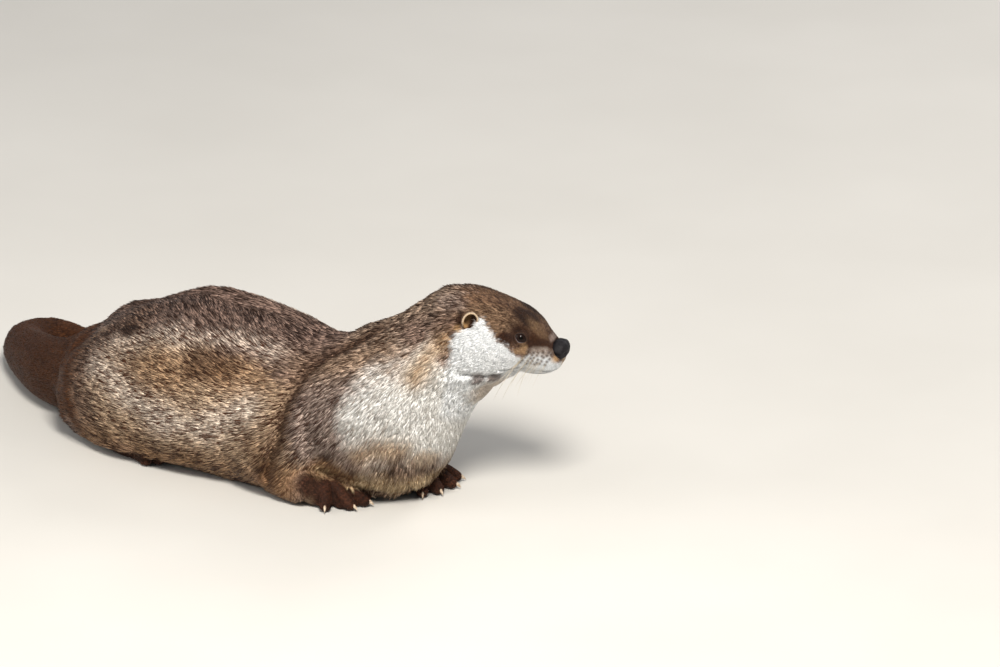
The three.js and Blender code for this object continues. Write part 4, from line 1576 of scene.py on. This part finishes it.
@dataclass
class Coat:
    """The otter's coat, as tufts over the skin."""

    skin: Skin
    markings: Markings
    most_tufts: int = 42000
    shown_at: float = 0.65
    regions: tuple = (
        Region("fur_face", "face_fur", Part.HEAD, 0.50, ahead_mm=24.0),
        Region("fur_head", "face_fur", Part.HEAD, 0.62, behind_mm=24.0),
        Region("fur_ears", "ear_fur", Part.EAR, 0.42),
        Region("fur_neck", "breast_fur", Part.NECK, 0.70),
        Region("fur_chest", "breast_fur", Part.CHEST, 0.72),
        Region("fur_trunk", "body_fur", Part.TRUNK, 0.74),
        Region("fur_loin", "body_fur", Part.LOIN, 0.74),
        Region("fur_rump", "body_fur", Part.RUMP, 0.76),
        Region("fur_tail", "tail_fur", Part.TAIL, 0.86),
        Region("fur_forelegs", "foot_fur", Part.FORELEG, 0.74),
        Region("fur_forepaws", "foot_fur", Part.FOREPAW, 0.58),
        Region("fur_hind_feet", "foot_fur", Part.HIND_FOOT, 0.74),
    )

    def __post_init__(self) -> None:
        """Makes the tree, the tuft and the finish that every piece is grown from."""
        self.finish = GUARD_HAIR.material()
        self.tree = self.tuft_tree()
        self.tuft = new_object("tuft", TuftShape().mesh())

    def nose_gap(self, local: Array) -> Array:
        """Returns how far each point lies from the middle of the nose, in millimetres."""
        return np.linalg.norm(local - self.skin.head.local(middle_of("nose")[None])[0], axis=1)

    def lengths(self) -> Array:
        """Returns the length of the coat at each point of the skin, in metres."""
        mesh = self.skin.mesh
        local = self.skin.local()
        forward, _, upward = local.T
        length = self.skin.part_values([part.length for part in Part], 6)
        face_at, face_length = [-35.0, -12.0, 10.0, 30.0, 50.0, 76.0], [11.0, 8.5, 6.0, 4.2, 2.6, 1.6]
        on_face = np.interp(forward, face_at, face_length)
        on_face += 3.0 * smoothstep(-20.0, -36.0, upward) * smoothstep(60.0, 20.0, forward)
        head = self.skin.is_head(local) & (forward > -35.0) & (upward > -62.0)
        length = np.where(head & (self.skin.owner != Part.EAR.number), on_face, length)
        length *= 1.0 - 0.5 * bell(folded(local), (64.0, 18.0, -12.0), (14.0, 10.0, 9.0))
        for socket in self.skin.sockets:
            share, distance, _ = socket.measure(local)
            close = smoothstep(2.6, 1.1, share) * (distance < 16.0)
            length = length * (1.0 - close) + 1.3 * close
        length *= 0.45 + 0.55 * smoothstep(9.0, 16.0, self.nose_gap(local))
        resting = smoothstep(0.016, 0.004, points_of(mesh)[:, 2]) * (normals_of(mesh)[:, 2] < -0.3)
        length *= 1.0 - 0.5 * resting
        return spread(length, mesh, 2) * MM

    def density(self) -> Array:
        """Returns the share of the tufts that grow at each point of the skin."""
        mesh = self.skin.mesh
        local = self.skin.local()
        resting = smoothstep(0.010, 0.002, points_of(mesh)[:, 2]) * (normals_of(mesh)[:, 2] < -0.5)
        share = 1.0 - 0.7 * resting
        for socket in self.skin.sockets:
            reach, distance, _ = socket.measure(local)
            share *= np.where(distance < 14.0, smoothstep(1.0, 1.1, reach), 1.0)
        own = self.skin.owner == Part.EAR.number
        for cup in self.skin.ears:
            gap = np.linalg.norm(local - np.array(cup.centre_mm), axis=1)
            share *= np.where(own, 1.0, smoothstep(7.5, 9.5, gap))
        return share * smoothstep(7.5, 10.0, self.nose_gap(local))

    def tuft_tree(self) -> GeometryNodes:
        """Builds the tree that scatters tufts over a mesh.

        Returns:
            The tree, with its sizes as named inputs.
        """
        sizes = {"Spacing": "Float", "Density": "Float", "Seed": "Int"}
        made = GeometryNodes("coat_tufts", **sizes, Shape="Object", Finish="Material")
        scattered = made.node(
            "GeometryNodeDistributePointsOnFaces",
            {
                "Mesh": made.start["Geometry"],
                "Distance Min": made.start["Spacing"],
                "Density Max": made.start["Density"],
                "Density Factor": made.attribute("tuft_share", "FLOAT"),
                "Seed": made.start["Seed"],
            },
            distribute_method="POISSON",
        )
        axes = {"Primary Axis": scattered["Normal"], "Secondary Axis": made.attribute("lie")}
        turn = made.node("FunctionNodeAxesToRotation", axes, primary_axis="Z", secondary_axis="X")
        yaw = made.math("ADD", made.random(-0.14, 0.14, 13), made.random(-0.12, 0.12, 14))
        stray = made.vector(made.random(-0.5, 0.5, 11), made.random(-0.12, 0.08, 12), yaw)
        turns = {
            "Rotation": turn["Rotation"],
            "Rotate By": made.node("FunctionNodeEulerToRotation", {"Euler": stray})["Rotation"],
        }
        turn = made.node("FunctionNodeRotateRotation", turns, rotation_space="LOCAL")["Rotation"]
        length = made.math("MULTIPLY", made.attribute("fur_length", "FLOAT"), made.random(0.7, 1.15, 15))
        width = made.math("MULTIPLY", made.attribute("fur_width", "FLOAT"), made.random(0.7, 1.3, 16))
        tufts = made.instances(scattered["Points"], turn, made.vector(length, width, length))
        maps = dict(enumerate(made.attribute(name) for name in ("skin_map", "tuft_patch")))
        mapped = {
            "Geometry": tufts,
            "Name": UV_NAME,
            "Value": made.node("ShaderNodeVectorMath", maps, operation="ADD")["Vector"],
        }
        kinds = {"data_type": "FLOAT2", "domain": "CORNER"}
        tufts = made.node("GeometryNodeStoreNamedAttribute", mapped, **kinds)["Geometry"]
        for name in ("skin_map", "tuft_patch", "lie", "fur_length", "fur_width", "tuft_share"):
            tufts = made.node("GeometryNodeRemoveAttribute", {"Geometry": tufts, "Name": name})["Geometry"]
        made.end(tufts)
        return made

    def prepare(self, mesh: Mesh) -> None:
        """Writes the lie, sizes and kind of the coat on the skin.

        Args:
            mesh: The skin's mesh.
        """
        length = self.lengths()
        store(mesh, "lie", Lie(self.skin).directions(), Stored.VECTOR)
        store(mesh, "fur_length", length)
        store(mesh, "fur_width", np.clip(0.00042 + 0.040 * length, 0.00045, 0.00092))
        store(mesh, "tuft_share", self.density())
        self.shares = self.skin.shares()
        for name, values in self.shares.items():
            store(mesh, name, values)

    def build(self) -> None:
        """Grows every region of the coat."""
        mesh = self.skin.mesh
        self.prepare(mesh)
        first = np.array([polygon.vertices[0] for polygon in mesh.polygons])
        owner, forward = self.skin.owner[first], self.skin.local()[first, 0]
        centres = np.array([polygon.center[:] for polygon in mesh.polygons])
        areas = np.array([polygon.area for polygon in mesh.polygons])
        for region in self.regions:
            inside = (forward > region.ahead_mm) & (forward <= region.behind_mm)
            chosen = np.flatnonzero(inside & (owner == region.part.number))
            expected = 0.72 * areas[chosen].sum() / (region.spacing_mm * MM) ** 2
            parts = math.ceil(expected / self.most_tufts)
            order = chosen[np.argsort(centres[chosen, 0], kind="stable")]
            shares = np.cumsum(areas[order]) / areas[order].sum()
            for part in range(parts):
                inside = (shares > part / parts) & (shares <= (part + 1) / parts)
                name = region.name if parts == 1 else f"{region.name}_{part + 1}"
                self.grow(name, region, order[inside])
        bpy.data.objects.remove(self.tuft)

    def grow(self, name: str, region: Region, faces: Array) -> None:
        """Grows one piece of the coat.

        Args:
            name: The piece's name.
            region: The region that it belongs to.
            faces: Numbers of the skin's faces that it covers.
        """
        bed = new_object("bed", self.skin.mesh.copy())
        keep = set(faces.tolist())
        with editing(bed.data) as shell:
            unwanted = [face for face in shell.faces if face.index not in keep]
            bmesh.ops.delete(shell, geom=unwanted, context="FACES")
        unwrap(bed, "skin_map")
        spacing = region.spacing_mm * MM
        sizes = {"Spacing": spacing, "Density": 3.0 / spacing**2, "Seed": 5}
        piece = self.tree.run(name, bed, **sizes, Shape=self.tuft, Finish=self.finish)
        self.paint(piece.data, sum(map(ord, name)))
        finish_piece(piece, region.slot)

    def paint(self, mesh: Mesh, seed: int) -> None:
        """Colours each tuft from root to tip and keeps it off the floor.

        Args:
            mesh: The tufts.
            seed: Fixes their chance differences.
        """
        points = points_of(mesh)
        corners = TuftShape.corners
        tufts = points.reshape(-1, corners, 3)
        shares = {}
        for name in self.shares:
            values = rows_of(mesh.attributes[name].data, "value", 1, np.float32)
            shares[name] = values[::corners, 0].astype(float)
            mesh.attributes.remove(mesh.attributes[name])
        shown = tufts[:, 0] + (tufts[:, 3] - tufts[:, 0]) * self.shown_at
        tone = self.markings.at(shown, shares)
        dark, light, mean, streak = tone[:, :3], tone[:, 3:6], tone[:, 6], tone[:, 7]
        draw = np.random.default_rng(seed)
        clump = 0.6 * ripple(shown, 6.0, 21) + 0.4 * ripple(shown, 24.0, 22)
        clump += 0.7 * ripple(shown, 2.8, 23)
        share = mean + streak * (clump + draw.normal(0.0, 1.1, len(tufts)))

        def mixed(reach: float) -> Array:
            """Returns each tuft's colour at a share of its own lightness."""
            return dark + (light - dark) * np.clip(share * reach, 0.0, 1.0)[:, None]

        # Each tuft darkest at its root and lightest at its tip; the light tips are partly pale hair and
        # partly painted glints.
        colours = np.stack([0.8 * mixed(0.4), mixed(0.8), mixed(0.8), mixed(1.2)], 1)
        store(mesh, "coat", np.clip(colours.reshape(-1, 3), 0.0, 1.0), Stored.COLOUR)
        points[:, 2] = np.maximum(points[:, 2], 0.4 * MM)
        place(mesh, points)

    def dress_skin(self) -> None:
        """Colours the skin like the coat, gives it its finish and fixes it to the frame."""
        down_share = 0.5
        mesh = self.skin.mesh
        tone = self.markings.at(points_of(mesh), self.shares)
        colours = tone[:, :3] + (tone[:, 3:6] - tone[:, :3]) * tone[:, 6:7] * down_share
        store(mesh, "coat", np.clip(colours, 0.0, 1.0), Stored.COLOUR)
        mesh.materials.clear()
        mesh.materials.append(DOWNY_SKIN.material())
        finish_piece(self.skin.object, "body_fur", *FLESH)


def unwrap(piece: Object, name: str) -> None:
    """Unwraps a piece's own shape into a new map.

    Args:
        piece: The piece.
        name: The map's name.
    """
    piece.data.uv_layers.active = piece.data.uv_layers.new(name=name)
    bpy.ops.object.select_all(action="DESELECT")
    piece.select_set(True)
    bpy.context.view_layer.objects.active = piece
    bpy.ops.object.mode_set(mode="EDIT")
    bpy.ops.mesh.select_all(action="SELECT")
    bpy.ops.uv.smart_project(angle_limit=math.radians(66.0), island_margin=0.004)
    bpy.ops.object.mode_set(mode="OBJECT")
    piece.select_set(False)


# ---- whiskers


@dataclass
class WhiskerPads:
    """The rows of whiskers on the upper lip."""

    skin: Skin
    rows: int = 5
    in_row: int = 6
    spot_mm: float = 1.25
    rings: int = 9
    around: int = 4
    droop: float = 0.22

    @classmethod
    def roots(cls) -> Array:
        """Returns the whiskers' roots on one side, as (forward, up) in head coordinates."""
        places = []
        draw = np.random.default_rng(17)
        for row in range(cls.rows):
            for along in range(cls.in_row):
                upward = -5.6 - 2.8 * row - 0.7 * along + 0.35 * (along % 2)
                places.append((76.5 - 4.3 * along - 1.2 * row, upward))
        return np.array(places) + draw.normal(0.0, 0.45, (len(places), 2))

    @classmethod
    def spots(cls, local: Array) -> Array:
        """Weighs points by how near they are to the root of a whisker.

        Args:
            local: Points in head coordinates.

        Returns:
            A weight from 0 to 1 for each point.
        """
        weight = np.zeros(len(local))
        near = np.flatnonzero((local[:, 0] > 46.0) & (np.abs(local[:, 1]) > 5.0) & (local[:, 2] < 2.0))
        flat = local[near][:, [0, 2]]
        for root in cls.roots():
            gap = np.linalg.norm(flat - root, axis=1) / cls.spot_mm
            weight[near] = np.maximum(weight[near], 0.9 * np.exp(-(gap**2) * 0.8))
        return weight

    def whisker(self) -> Mesh:
        """Builds one whisker, tapered and drooping.

        Returns:
            The mesh, one unit long along X.
        """
        points = []
        for share in np.arange(self.rings) / self.rings:
            radius = 0.0075 * (1.0 - share) ** 0.7 + 0.0008
            for angle in angles(self.around):
                height = radius * math.sin(angle) - self.droop * share**2
                points.append((share, radius * math.cos(angle), height))
        tips = (-0.01, 0.0, 0.0), (1.0, 0.0, -self.droop)
        return mesh_from("whisker", *closed_tube(points, self.around, *tips))

    def bed(self) -> Object:
        """Builds the loose points that the whiskers grow from, with their turns and lengths.

        Returns:
            An object with one vertex for each whisker.
        """
        mesh, head = self.skin.mesh, self.skin.head
        faces = [list(polygon.vertices) for polygon in mesh.polygons]
        tree = BVHTree.FromPolygons([vertex.co for vertex in mesh.vertices], faces)
        draw = np.random.default_rng(7)
        places, turns, lengths = [], [], []
        for sign in SIDES.values():
            for number, (forward, upward) in enumerate(self.roots()):
                start = Vector(head.frame(np.array([forward, 60.0 * sign, upward])))
                found = tree.ray_cast(start, Vector(head.direction(np.array([0.0, -sign, 0.0]))))[0]
                if found is None:
                    continue
                row, along = divmod(number, self.in_row)
                behind = along / self.in_row
                aim = np.array([-0.55 + 0.20 * (1 - behind), 0.42 * sign, -0.72])
                aim = head.direction(unit(aim + draw.normal(0.0, 0.11, 3)))
                side = unit(np.cross([0.0, 0.0, 1.0], aim))
                places.append(tuple(found))
                turns.append(Matrix([aim, side, np.cross(aim, side)]).transposed().to_euler())
                low = 0.5 + 0.5 * row / (self.rows - 1)
                lengths.append((22.0 + 20.0 * behind) * low * draw.uniform(0.75, 1.15) * MM)
        points = bpy.data.meshes.new("whisker_roots")
        points.from_pydata(places, [], [])
        store(points, "turn", np.array(turns), Stored.VECTOR)
        store(points, "whisker_length", np.array(lengths))
        return new_object("whisker_roots", points)

    def build(self) -> None:
        """Grows the whiskers."""
        made = GeometryNodes("whiskers", Shape="Object", Finish="Material")
        turn = made.node("FunctionNodeEulerToRotation", {"Euler": made.attribute("turn")})
        length = made.attribute("whisker_length", "FLOAT")
        scale = made.vector(length, length, length)
        made.end(made.instances(made.start["Geometry"], turn["Rotation"], scale))
        whisker = new_object("whisker", self.whisker())
        piece = made.run("whiskers", self.bed(), Shape=whisker, Finish=WHISKER_HAIR.material())
        bpy.data.objects.remove(whisker)
        finish_piece(piece, "face_fur")


# ---- eyes, nose and claws


@dataclass
class Eyes:
    """Two eyeballs with a bulging cornea."""

    head: HeadAxes
    sockets: list
    steps: int = 26
    around: int = 48
    sunk_mm: float = 0.25
    bulge_mm: float = 0.2

    def eyeball(self, socket: EyeSocket) -> tuple:
        """Turns a profile about the eye's axis.

        Args:
            socket: The eye's socket.

        Returns:
            The points, the faces and how far each point lies from the middle of the pupil.
        """
        radius = socket.radius_mm - self.sunk_mm
        points, ring_at = [], []
        for angle in np.linspace(0.0, math.pi, self.steps + 1)[1:-1]:
            across, ahead = math.sin(angle), math.cos(angle)
            bulge = self.bulge_mm * hump(angle, 0.95)
            for turn in angles(self.around):
                spot = np.array([across * math.cos(turn), across * math.sin(turn), ahead])
                points.append(socket.centre_mm + (radius + bulge) * spot @ socket.axes)
                ring_at.append(angle)
        front = socket.centre_mm + (radius + self.bulge_mm) * socket.axes[2]
        back = socket.centre_mm - radius * socket.axes[2]
        points, faces = closed_tube(points, self.around, front, back)
        return points, faces, np.array([*ring_at, 0.0, math.pi])

    def build(self) -> None:
        """Makes both eyes."""
        finish = WET_EYE.material()
        for side, socket in zip(SIDES, self.sockets):
            points, faces, ring_at = self.eyeball(socket)
            mesh = mesh_from(f"eyeball_{side}", self.head.frame(points), faces)
            store(mesh, "ring", ring_at)
            make_piece(mesh, finish, "eye", f"eye_{side}")


@dataclass
class LidRims:
    """The bare rims of the lids, a thin rounded edge round each eye."""

    head: HeadAxes
    sockets: list
    steps: int = 64
    around: int = 8

    def build(self) -> None:
        """Makes the rims of both eyes."""
        points, faces, upper = [], [], []
        for socket in self.sockets:
            ways = socket.rim(self.steps)
            centres = ways * (socket.radius_mm + 0.2)
            tangents = unit(np.roll(centres, -1, 0) - np.roll(centres, 1, 0))
            for step in range(self.steps):
                low, high = ((step + more) % self.steps - step for more in (0, 1))
                start = len(points)
                faces += ring_faces(start + low * self.around, start + high * self.around, self.around)
                way = ways[step]
                side = np.cross(tangents[step], way)
                height = way @ socket.axes[1]
                thick = 0.22 + 0.10 * float(smoothstep(0.0, 0.4, np.array(height)))
                for angle in angles(self.around):
                    offset = side * math.cos(angle) + way * math.sin(angle)
                    points.append(socket.centre_mm + centres[step] + offset * thick)
                    upper.append(height)
        mesh = mesh_from("lid_rims", self.head.frame(np.array(points)), faces)
        store(mesh, "upper", np.array(upper))
        make_piece(mesh, LID_RIM.material(), "face_fur")


@dataclass
class NosePad:
    """The bare nose pad, with its nostrils."""

    nodes: dict
    head: HeadAxes
    face_mm: float = 0.55
    melting_rounds: int = 28
    # Bumps and hollows on both sides: height, middle, half size; first the nostril and its slit.
    bumps_mm: tuple = (
        (-2.8, (83.5, 6.6, -7.4), (3, 2.2, 2)),
        (-2.2, (79, 9.4, -9.4), (3.4, 2.6, 1.4)),
        (0.7, (80, 7, -1.5), (5, 3, 2.4)),
        (-0.8, (80, 0, 1), (7, 2, 3)),
    )

    def build(self) -> None:
        """Shapes the nose from its solid."""
        piece = new_object("nose_pad", self.nodes["nose"].data.copy())
        piece.data.materials.clear()
        one_surface(piece, self.face_mm)
        mesh = piece.data
        points = points_of(mesh)
        middle, size = points.mean(0), np.ptp(points, axis=0)
        points = spread(points, mesh, self.melting_rounds)
        points = middle + (points - points.mean(0)) * size / np.ptp(points, axis=0)
        place(mesh, points)
        local = self.head.local(points)
        outward = normals_of(mesh) @ self.head.turn.T
        lift = sum(height * bell(folded(local), *where) for height, *where in self.bumps_mm)
        lift -= 0.8 * hump(local[:, 1], 0.8) * smoothstep(-6.0, -10.0, local[:, 2])
        local += outward * lift[:, None]
        place(mesh, self.head.frame(local))
        mesh.shade_smooth()
        mesh.materials.append(NOSE_LEATHER.material())
        finish_piece(piece, "nose", "nose")


@dataclass
class Claws:
    """Twenty curved claws, each shaped along its solid."""

    feet: list
    rings: int = 9
    around: int = 10
    arch: float = 0.16
    thin: float = 0.72
    root_mm: float = 2.7
    hind_set_back_mm: float = 13.0

    def claw(self, root: Array, tip: Array) -> tuple:
        """Shapes one claw.

        Args:
            root: The middle of its root.
            tip: Its tip.

        Returns:
            The points and the faces.
        """
        along = tip - root
        side = unit(np.cross([0.0, 0.0, 1.0], along))
        upward = np.cross(unit(along), side)
        points = []
        for share in np.arange(self.rings) / self.rings:
            rise = self.arch * math.sin(math.pi * share) * np.linalg.norm(along)
            middle = root + along * share + upward * rise
            radius = self.root_mm * MM * (1.0 - share**1.5) ** 0.85
            for angle in angles(self.around):
                across = side * math.cos(angle) * radius * self.thin
                points.append(middle + across + upward * math.sin(angle) * radius)
        return closed_tube(points, self.around, root - along * 0.06, tip)

    def build(self) -> None:
        """Makes all the claws."""
        finish = CLAW_HORN.material()
        for foot in self.feet:
            set_back = self.hind_set_back_mm * MM if foot.part is Part.HIND_FOOT else 0.0
            for name, (root, tip) in foot.claws.items():
                back = unit(foot.palm - root) * set_back
                points, faces = self.claw(root + back, tip + back)
                points[:, 2] = np.maximum(points[:, 2], 0.2 * MM)
                make_piece(mesh_from(name + "_horn", points, faces), finish, "claw", name)


# ---- finishes


@dataclass(frozen=True)
class Pattern:
    """A noise over the surface, moved to a range."""

    per_metre: float
    detail: float
    low: float = 0.0
    high: float = 1.0

    def output(self, tree: Nodes) -> NodeSocket:
        """Adds the pattern to a tree.

        Args:
            tree: The tree.

        Returns:
            The pattern's output.
        """
        sockets = {
            "Vector": tree.node("ShaderNodeTexCoord", {})["Object"],
            "Scale": self.per_metre,
            "Detail": self.detail,
        }
        noise = tree.node("ShaderNodeTexNoise", sockets)["Fac"]
        moved = {"Value": noise, "To Min": self.low, "To Max": self.high}
        return tree.node("ShaderNodeMapRange", moved)["Result"]


@dataclass(frozen=True)
class Pebbles:
    """A pattern of small cells, high between them; how many there are to a metre."""

    per_metre: float

    def output(self, tree: Nodes) -> NodeSocket:
        """Returns the pattern's output in a tree."""
        place_at = tree.node("ShaderNodeTexCoord", {})["Object"]
        return tree.node("ShaderNodeTexVoronoi", {"Vector": place_at, "Scale": self.per_metre})["Distance"]


@dataclass(frozen=True)
class Reading:
    """A value read from the mesh, from the one that counts as 0 to the one that counts as 1."""

    name: str
    low: float = 0.0
    high: float = 1.0

    def output(self, tree: Nodes) -> NodeSocket:
        """Returns the value's output in a tree."""
        read = tree.node("ShaderNodeAttribute", {}, attribute_name=self.name)["Fac"]
        moved = {"Value": read, "From Min": self.low, "From Max": self.high}
        return tree.node("ShaderNodeMapRange", moved)["Result"]


@dataclass(frozen=True)
class Finish:
    """A finish built around one Principled shader.

    The colour follows a value through its stops, or is the coat's own, and the mottle multiplies it.
    """

    name: str
    follows: Pattern | Reading | None = None
    stops: tuple = ()
    mottle: Pattern | None = None
    rough: Pattern | float = 0.5
    gloss: float = 0.5
    bump: Pattern | Pebbles | None = None
    bump_strength: float = 0.5
    bump_mm: float = 0.1

    def colour(self, tree: Nodes) -> NodeSocket:
        """Adds the colour to the material's tree.

        Args:
            tree: The tree.

        Returns:
            The colour's output.
        """
        if self.follows is None:
            colour = tree.node("ShaderNodeAttribute", {}, attribute_name="coat")["Color"]
        else:
            ramp = tree.tree.nodes.new("ShaderNodeValToRGB")
            elements = ramp.color_ramp.elements
            while len(elements) < len(self.stops):
                elements.new(1.0)
            for element, (at, shade) in zip(elements, self.stops):
                element.position = at
                element.color = (*shade, 1.0)
            tree.feed(ramp.inputs["Fac"], self.follows.output(tree))
            colour = ramp.outputs["Color"]
        if self.mottle is None:
            return colour
        sockets = {0: colour, "Scale": self.mottle.output(tree)}
        return tree.node("ShaderNodeVectorMath", sockets, operation="SCALE")["Vector"]

    def material(self) -> Material:
        """Builds the material.

        Returns:
            The material.
        """
        made = bpy.data.materials.new(self.name)
        made.use_nodes = True
        tree = Nodes(made.node_tree)
        sockets = made.node_tree.nodes["Principled BSDF"].inputs
        tree.feed(sockets["Base Color"], self.colour(tree))
        rough = self.rough.output(tree) if isinstance(self.rough, Pattern) else self.rough
        tree.feed(sockets["Roughness"], rough)
        tree.feed(sockets["Specular IOR Level"], self.gloss)
        if self.bump is not None:
            height = {"Height": self.bump.output(tree), "Strength": self.bump_strength}
            bump = tree.node("ShaderNodeBump", {**height, "Distance": self.bump_mm * MM})
            tree.feed(sockets["Normal"], bump["Normal"])
        return made


GUARD_HAIR = Finish(
    "guard_hair", mottle=Pattern(700, 2, 0.85, 1.15), rough=Pattern(260, 1, 0.42, 0.62), gloss=0.22
)
DOWNY_SKIN = Finish(
    "downy_skin",
    mottle=Pattern(900, 3, 0.65, 1.2),
    rough=Pattern(500, 2, 0.7, 0.9),
    gloss=0.3,
    bump=Pattern(1400, 4),
    bump_mm=0.4,
)
WET_EYE = Finish(
    "wet_eye",
    Reading("ring"),
    (
        (0.0, (0.002, 0.0015, 0.001)),
        (0.20, (0.003, 0.002, 0.0015)),
        (0.30, (0.010, 0.005, 0.004)),
        (0.62, (0.014, 0.008, 0.006)),
        (0.78, (0.012, 0.007, 0.005)),
        (1.0, (0.012, 0.007, 0.005)),
    ),
    mottle=Pattern(2600, 3, 0.7, 1.3),
    rough=0.14,
    gloss=0.1,
)
LID_RIM = Finish(
    "lid_rim",
    Reading("upper", -0.6, 0.5),
    ((0.0, (0.20, 0.17, 0.18)), (0.16, (0.09, 0.07, 0.07)), (0.3, (0.018, 0.010, 0.007))),
    mottle=Pattern(1800, 3, 0.75, 1.25),
    rough=0.55,
    gloss=0.3,
    bump=Pattern(3000, 2),
    bump_strength=0.3,
)
NOSE_LEATHER = Finish(
    "nose_leather",
    Pattern(320, 3),
    ((0.3, (0.006, 0.005, 0.006)), (0.75, (0.018, 0.016, 0.018))),
    rough=Pattern(500, 2, 0.42, 0.62),
    gloss=0.14,
    bump=Pebbles(1300.0),
    bump_strength=0.7,
    bump_mm=0.3,
)
CLAW_HORN = Finish(
    "claw_horn",
    Pattern(420, 4),
    ((0.3, (0.30, 0.20, 0.12)), (0.7, (0.66, 0.55, 0.42))),
    rough=Pattern(900, 2, 0.25, 0.45),
    bump=Pattern(1500, 2),
    bump_strength=0.2,
)
WHISKER_HAIR = Finish(
    "whisker",
    Pattern(60, 2),
    ((0.3, (0.30, 0.23, 0.15)), (0.7, (0.66, 0.59, 0.48))),
    rough=0.3,
)
PALE_FLOOR = Finish(
    "pale_floor",
    Pattern(3, 3),
    ((0.3, (0.60, 0.58, 0.54)), (0.7, (0.64, 0.62, 0.58))),
    rough=0.85,
)


# ---- studio


@dataclass(frozen=True)
class Lamp:
    """One soft round lamp."""

    name: str
    hangs_at: tuple
    width: float
    watts: float
    colour: tuple
    aims_at: tuple = (0.05, 0.0, 0.08)

    def build(self) -> None:
        """Hangs the lamp."""
        data = bpy.data.lights.new(self.name, "AREA")
        data.shape = "DISK"
        data.size = self.width
        data.energy = self.watts
        data.color = self.colour
        lamp = new_object(self.name, data)
        lamp.location = Vector(self.hangs_at)
        ahead = Vector(self.aims_at) - lamp.location
        lamp.rotation_euler = ahead.to_track_quat("-Z", "Y").to_euler()


@dataclass
class Studio:
    """The camera, the floor and the lights."""

    picture_px: tuple = (1000.0, 667.0)
    azimuth_deg: float = 35.0
    elevation_deg: float = 20.0
    lens_mm: float = 300.0
    sensor_mm: float = 36.0
    mm_per_px: float = 0.92
    reference_px: tuple = (335.0, 508.0)
    reference_mm: tuple = (157.26, -83.36, 0.0)
    floor_half: float = 14.0
    sky: tuple = (0.94, 0.96, 1.0, 1.0)
    sky_strength: float = 0.34
    lamps: tuple = (
        Lamp("key", (1.5, -1.7, 2.3), 0.9, 132.0, (1.0, 0.96, 0.90)),
        Lamp("fill", (-1.6, -2.2, 1.5), 2.0, 26.0, (1.0, 0.98, 0.96)),
        Lamp("back", (0.6, 2.6, 2.0), 1.4, 34.0, (1.0, 0.98, 0.96)),
    )

    def camera(self) -> None:
        """Makes the camera and sets it as the scene's own."""
        azimuth, elevation = math.radians(self.azimuth_deg), math.radians(self.elevation_deg)
        right = np.array([math.cos(azimuth), math.sin(azimuth), 0.0])
        away = np.array([-math.sin(azimuth), math.cos(azimuth), 0.0])
        ahead = math.cos(elevation) * away - math.sin(elevation) * np.array([0.0, 0.0, 1.0])
        upward = np.cross(right, ahead)
        scale = self.mm_per_px * MM
        distance = scale * self.picture_px[0] * self.lens_mm / self.sensor_mm
        across = (self.reference_px[0] - self.picture_px[0] / 2.0) * scale
        down = (self.picture_px[1] / 2.0 - self.reference_px[1]) * scale
        eye = np.array(self.reference_mm) * MM - across * right - down * upward - distance * ahead
        data = bpy.data.cameras.new("camera")
        data.lens = self.lens_mm
        data.sensor_width = self.sensor_mm
        data.clip_end = 60.0
        camera = new_object("camera", data)
        turn = Matrix([right, upward, -ahead]).transposed().to_4x4()
        camera.matrix_world = Matrix.Translation(Vector(eye)) @ turn
        bpy.context.scene.camera = camera

    def floor(self) -> None:
        """Lays a wide pale floor with a faint mottle."""
        half = self.floor_half
        corners = np.array([(-half, -half, 0), (half, -half, 0), (half, half, 0), (-half, half, 0)])
        mesh = mesh_from("floor", corners, [(0, 1, 2, 3)])
        mesh.materials.append(PALE_FLOOR.material())
        piece = new_object("floor", mesh)

    def light(self) -> None:
        """Lights the scene softly."""
        bpy.context.scene.view_settings.view_transform = "Standard"
        for lamp in self.lamps:
            lamp.build()
        world = bpy.data.worlds.new("studio")
        world.use_nodes = True
        sockets = world.node_tree.nodes["Background"].inputs
        sockets["Color"].default_value = self.sky
        sockets["Strength"].default_value = self.sky_strength
        bpy.context.scene.world = world

    def build(self) -> None:
        """Sets up the whole studio."""
        self.camera()
        self.floor()
        self.light()


# ---- the whole animal


def main() -> None:
    """Builds the otter and its studio."""
    logging.basicConfig(level=logging.INFO, format="%(message)s", force=True)
    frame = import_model()
    nodes = frame["nodes"]
    Studio().build()
    head = HeadAxes.from_frame()
    skin = Skin(nodes, head)
    skin.build()
    coat = Coat(skin, Markings(head))
    coat.build()
    WhiskerPads(skin).build()
    coat.dress_skin()
    Eyes(head, skin.sockets).build()
    LidRims(head, skin.sockets).build()
    NosePad(nodes, head).build()
    Claws(skin.feet).build()


if __name__ == "__main__":
    main()
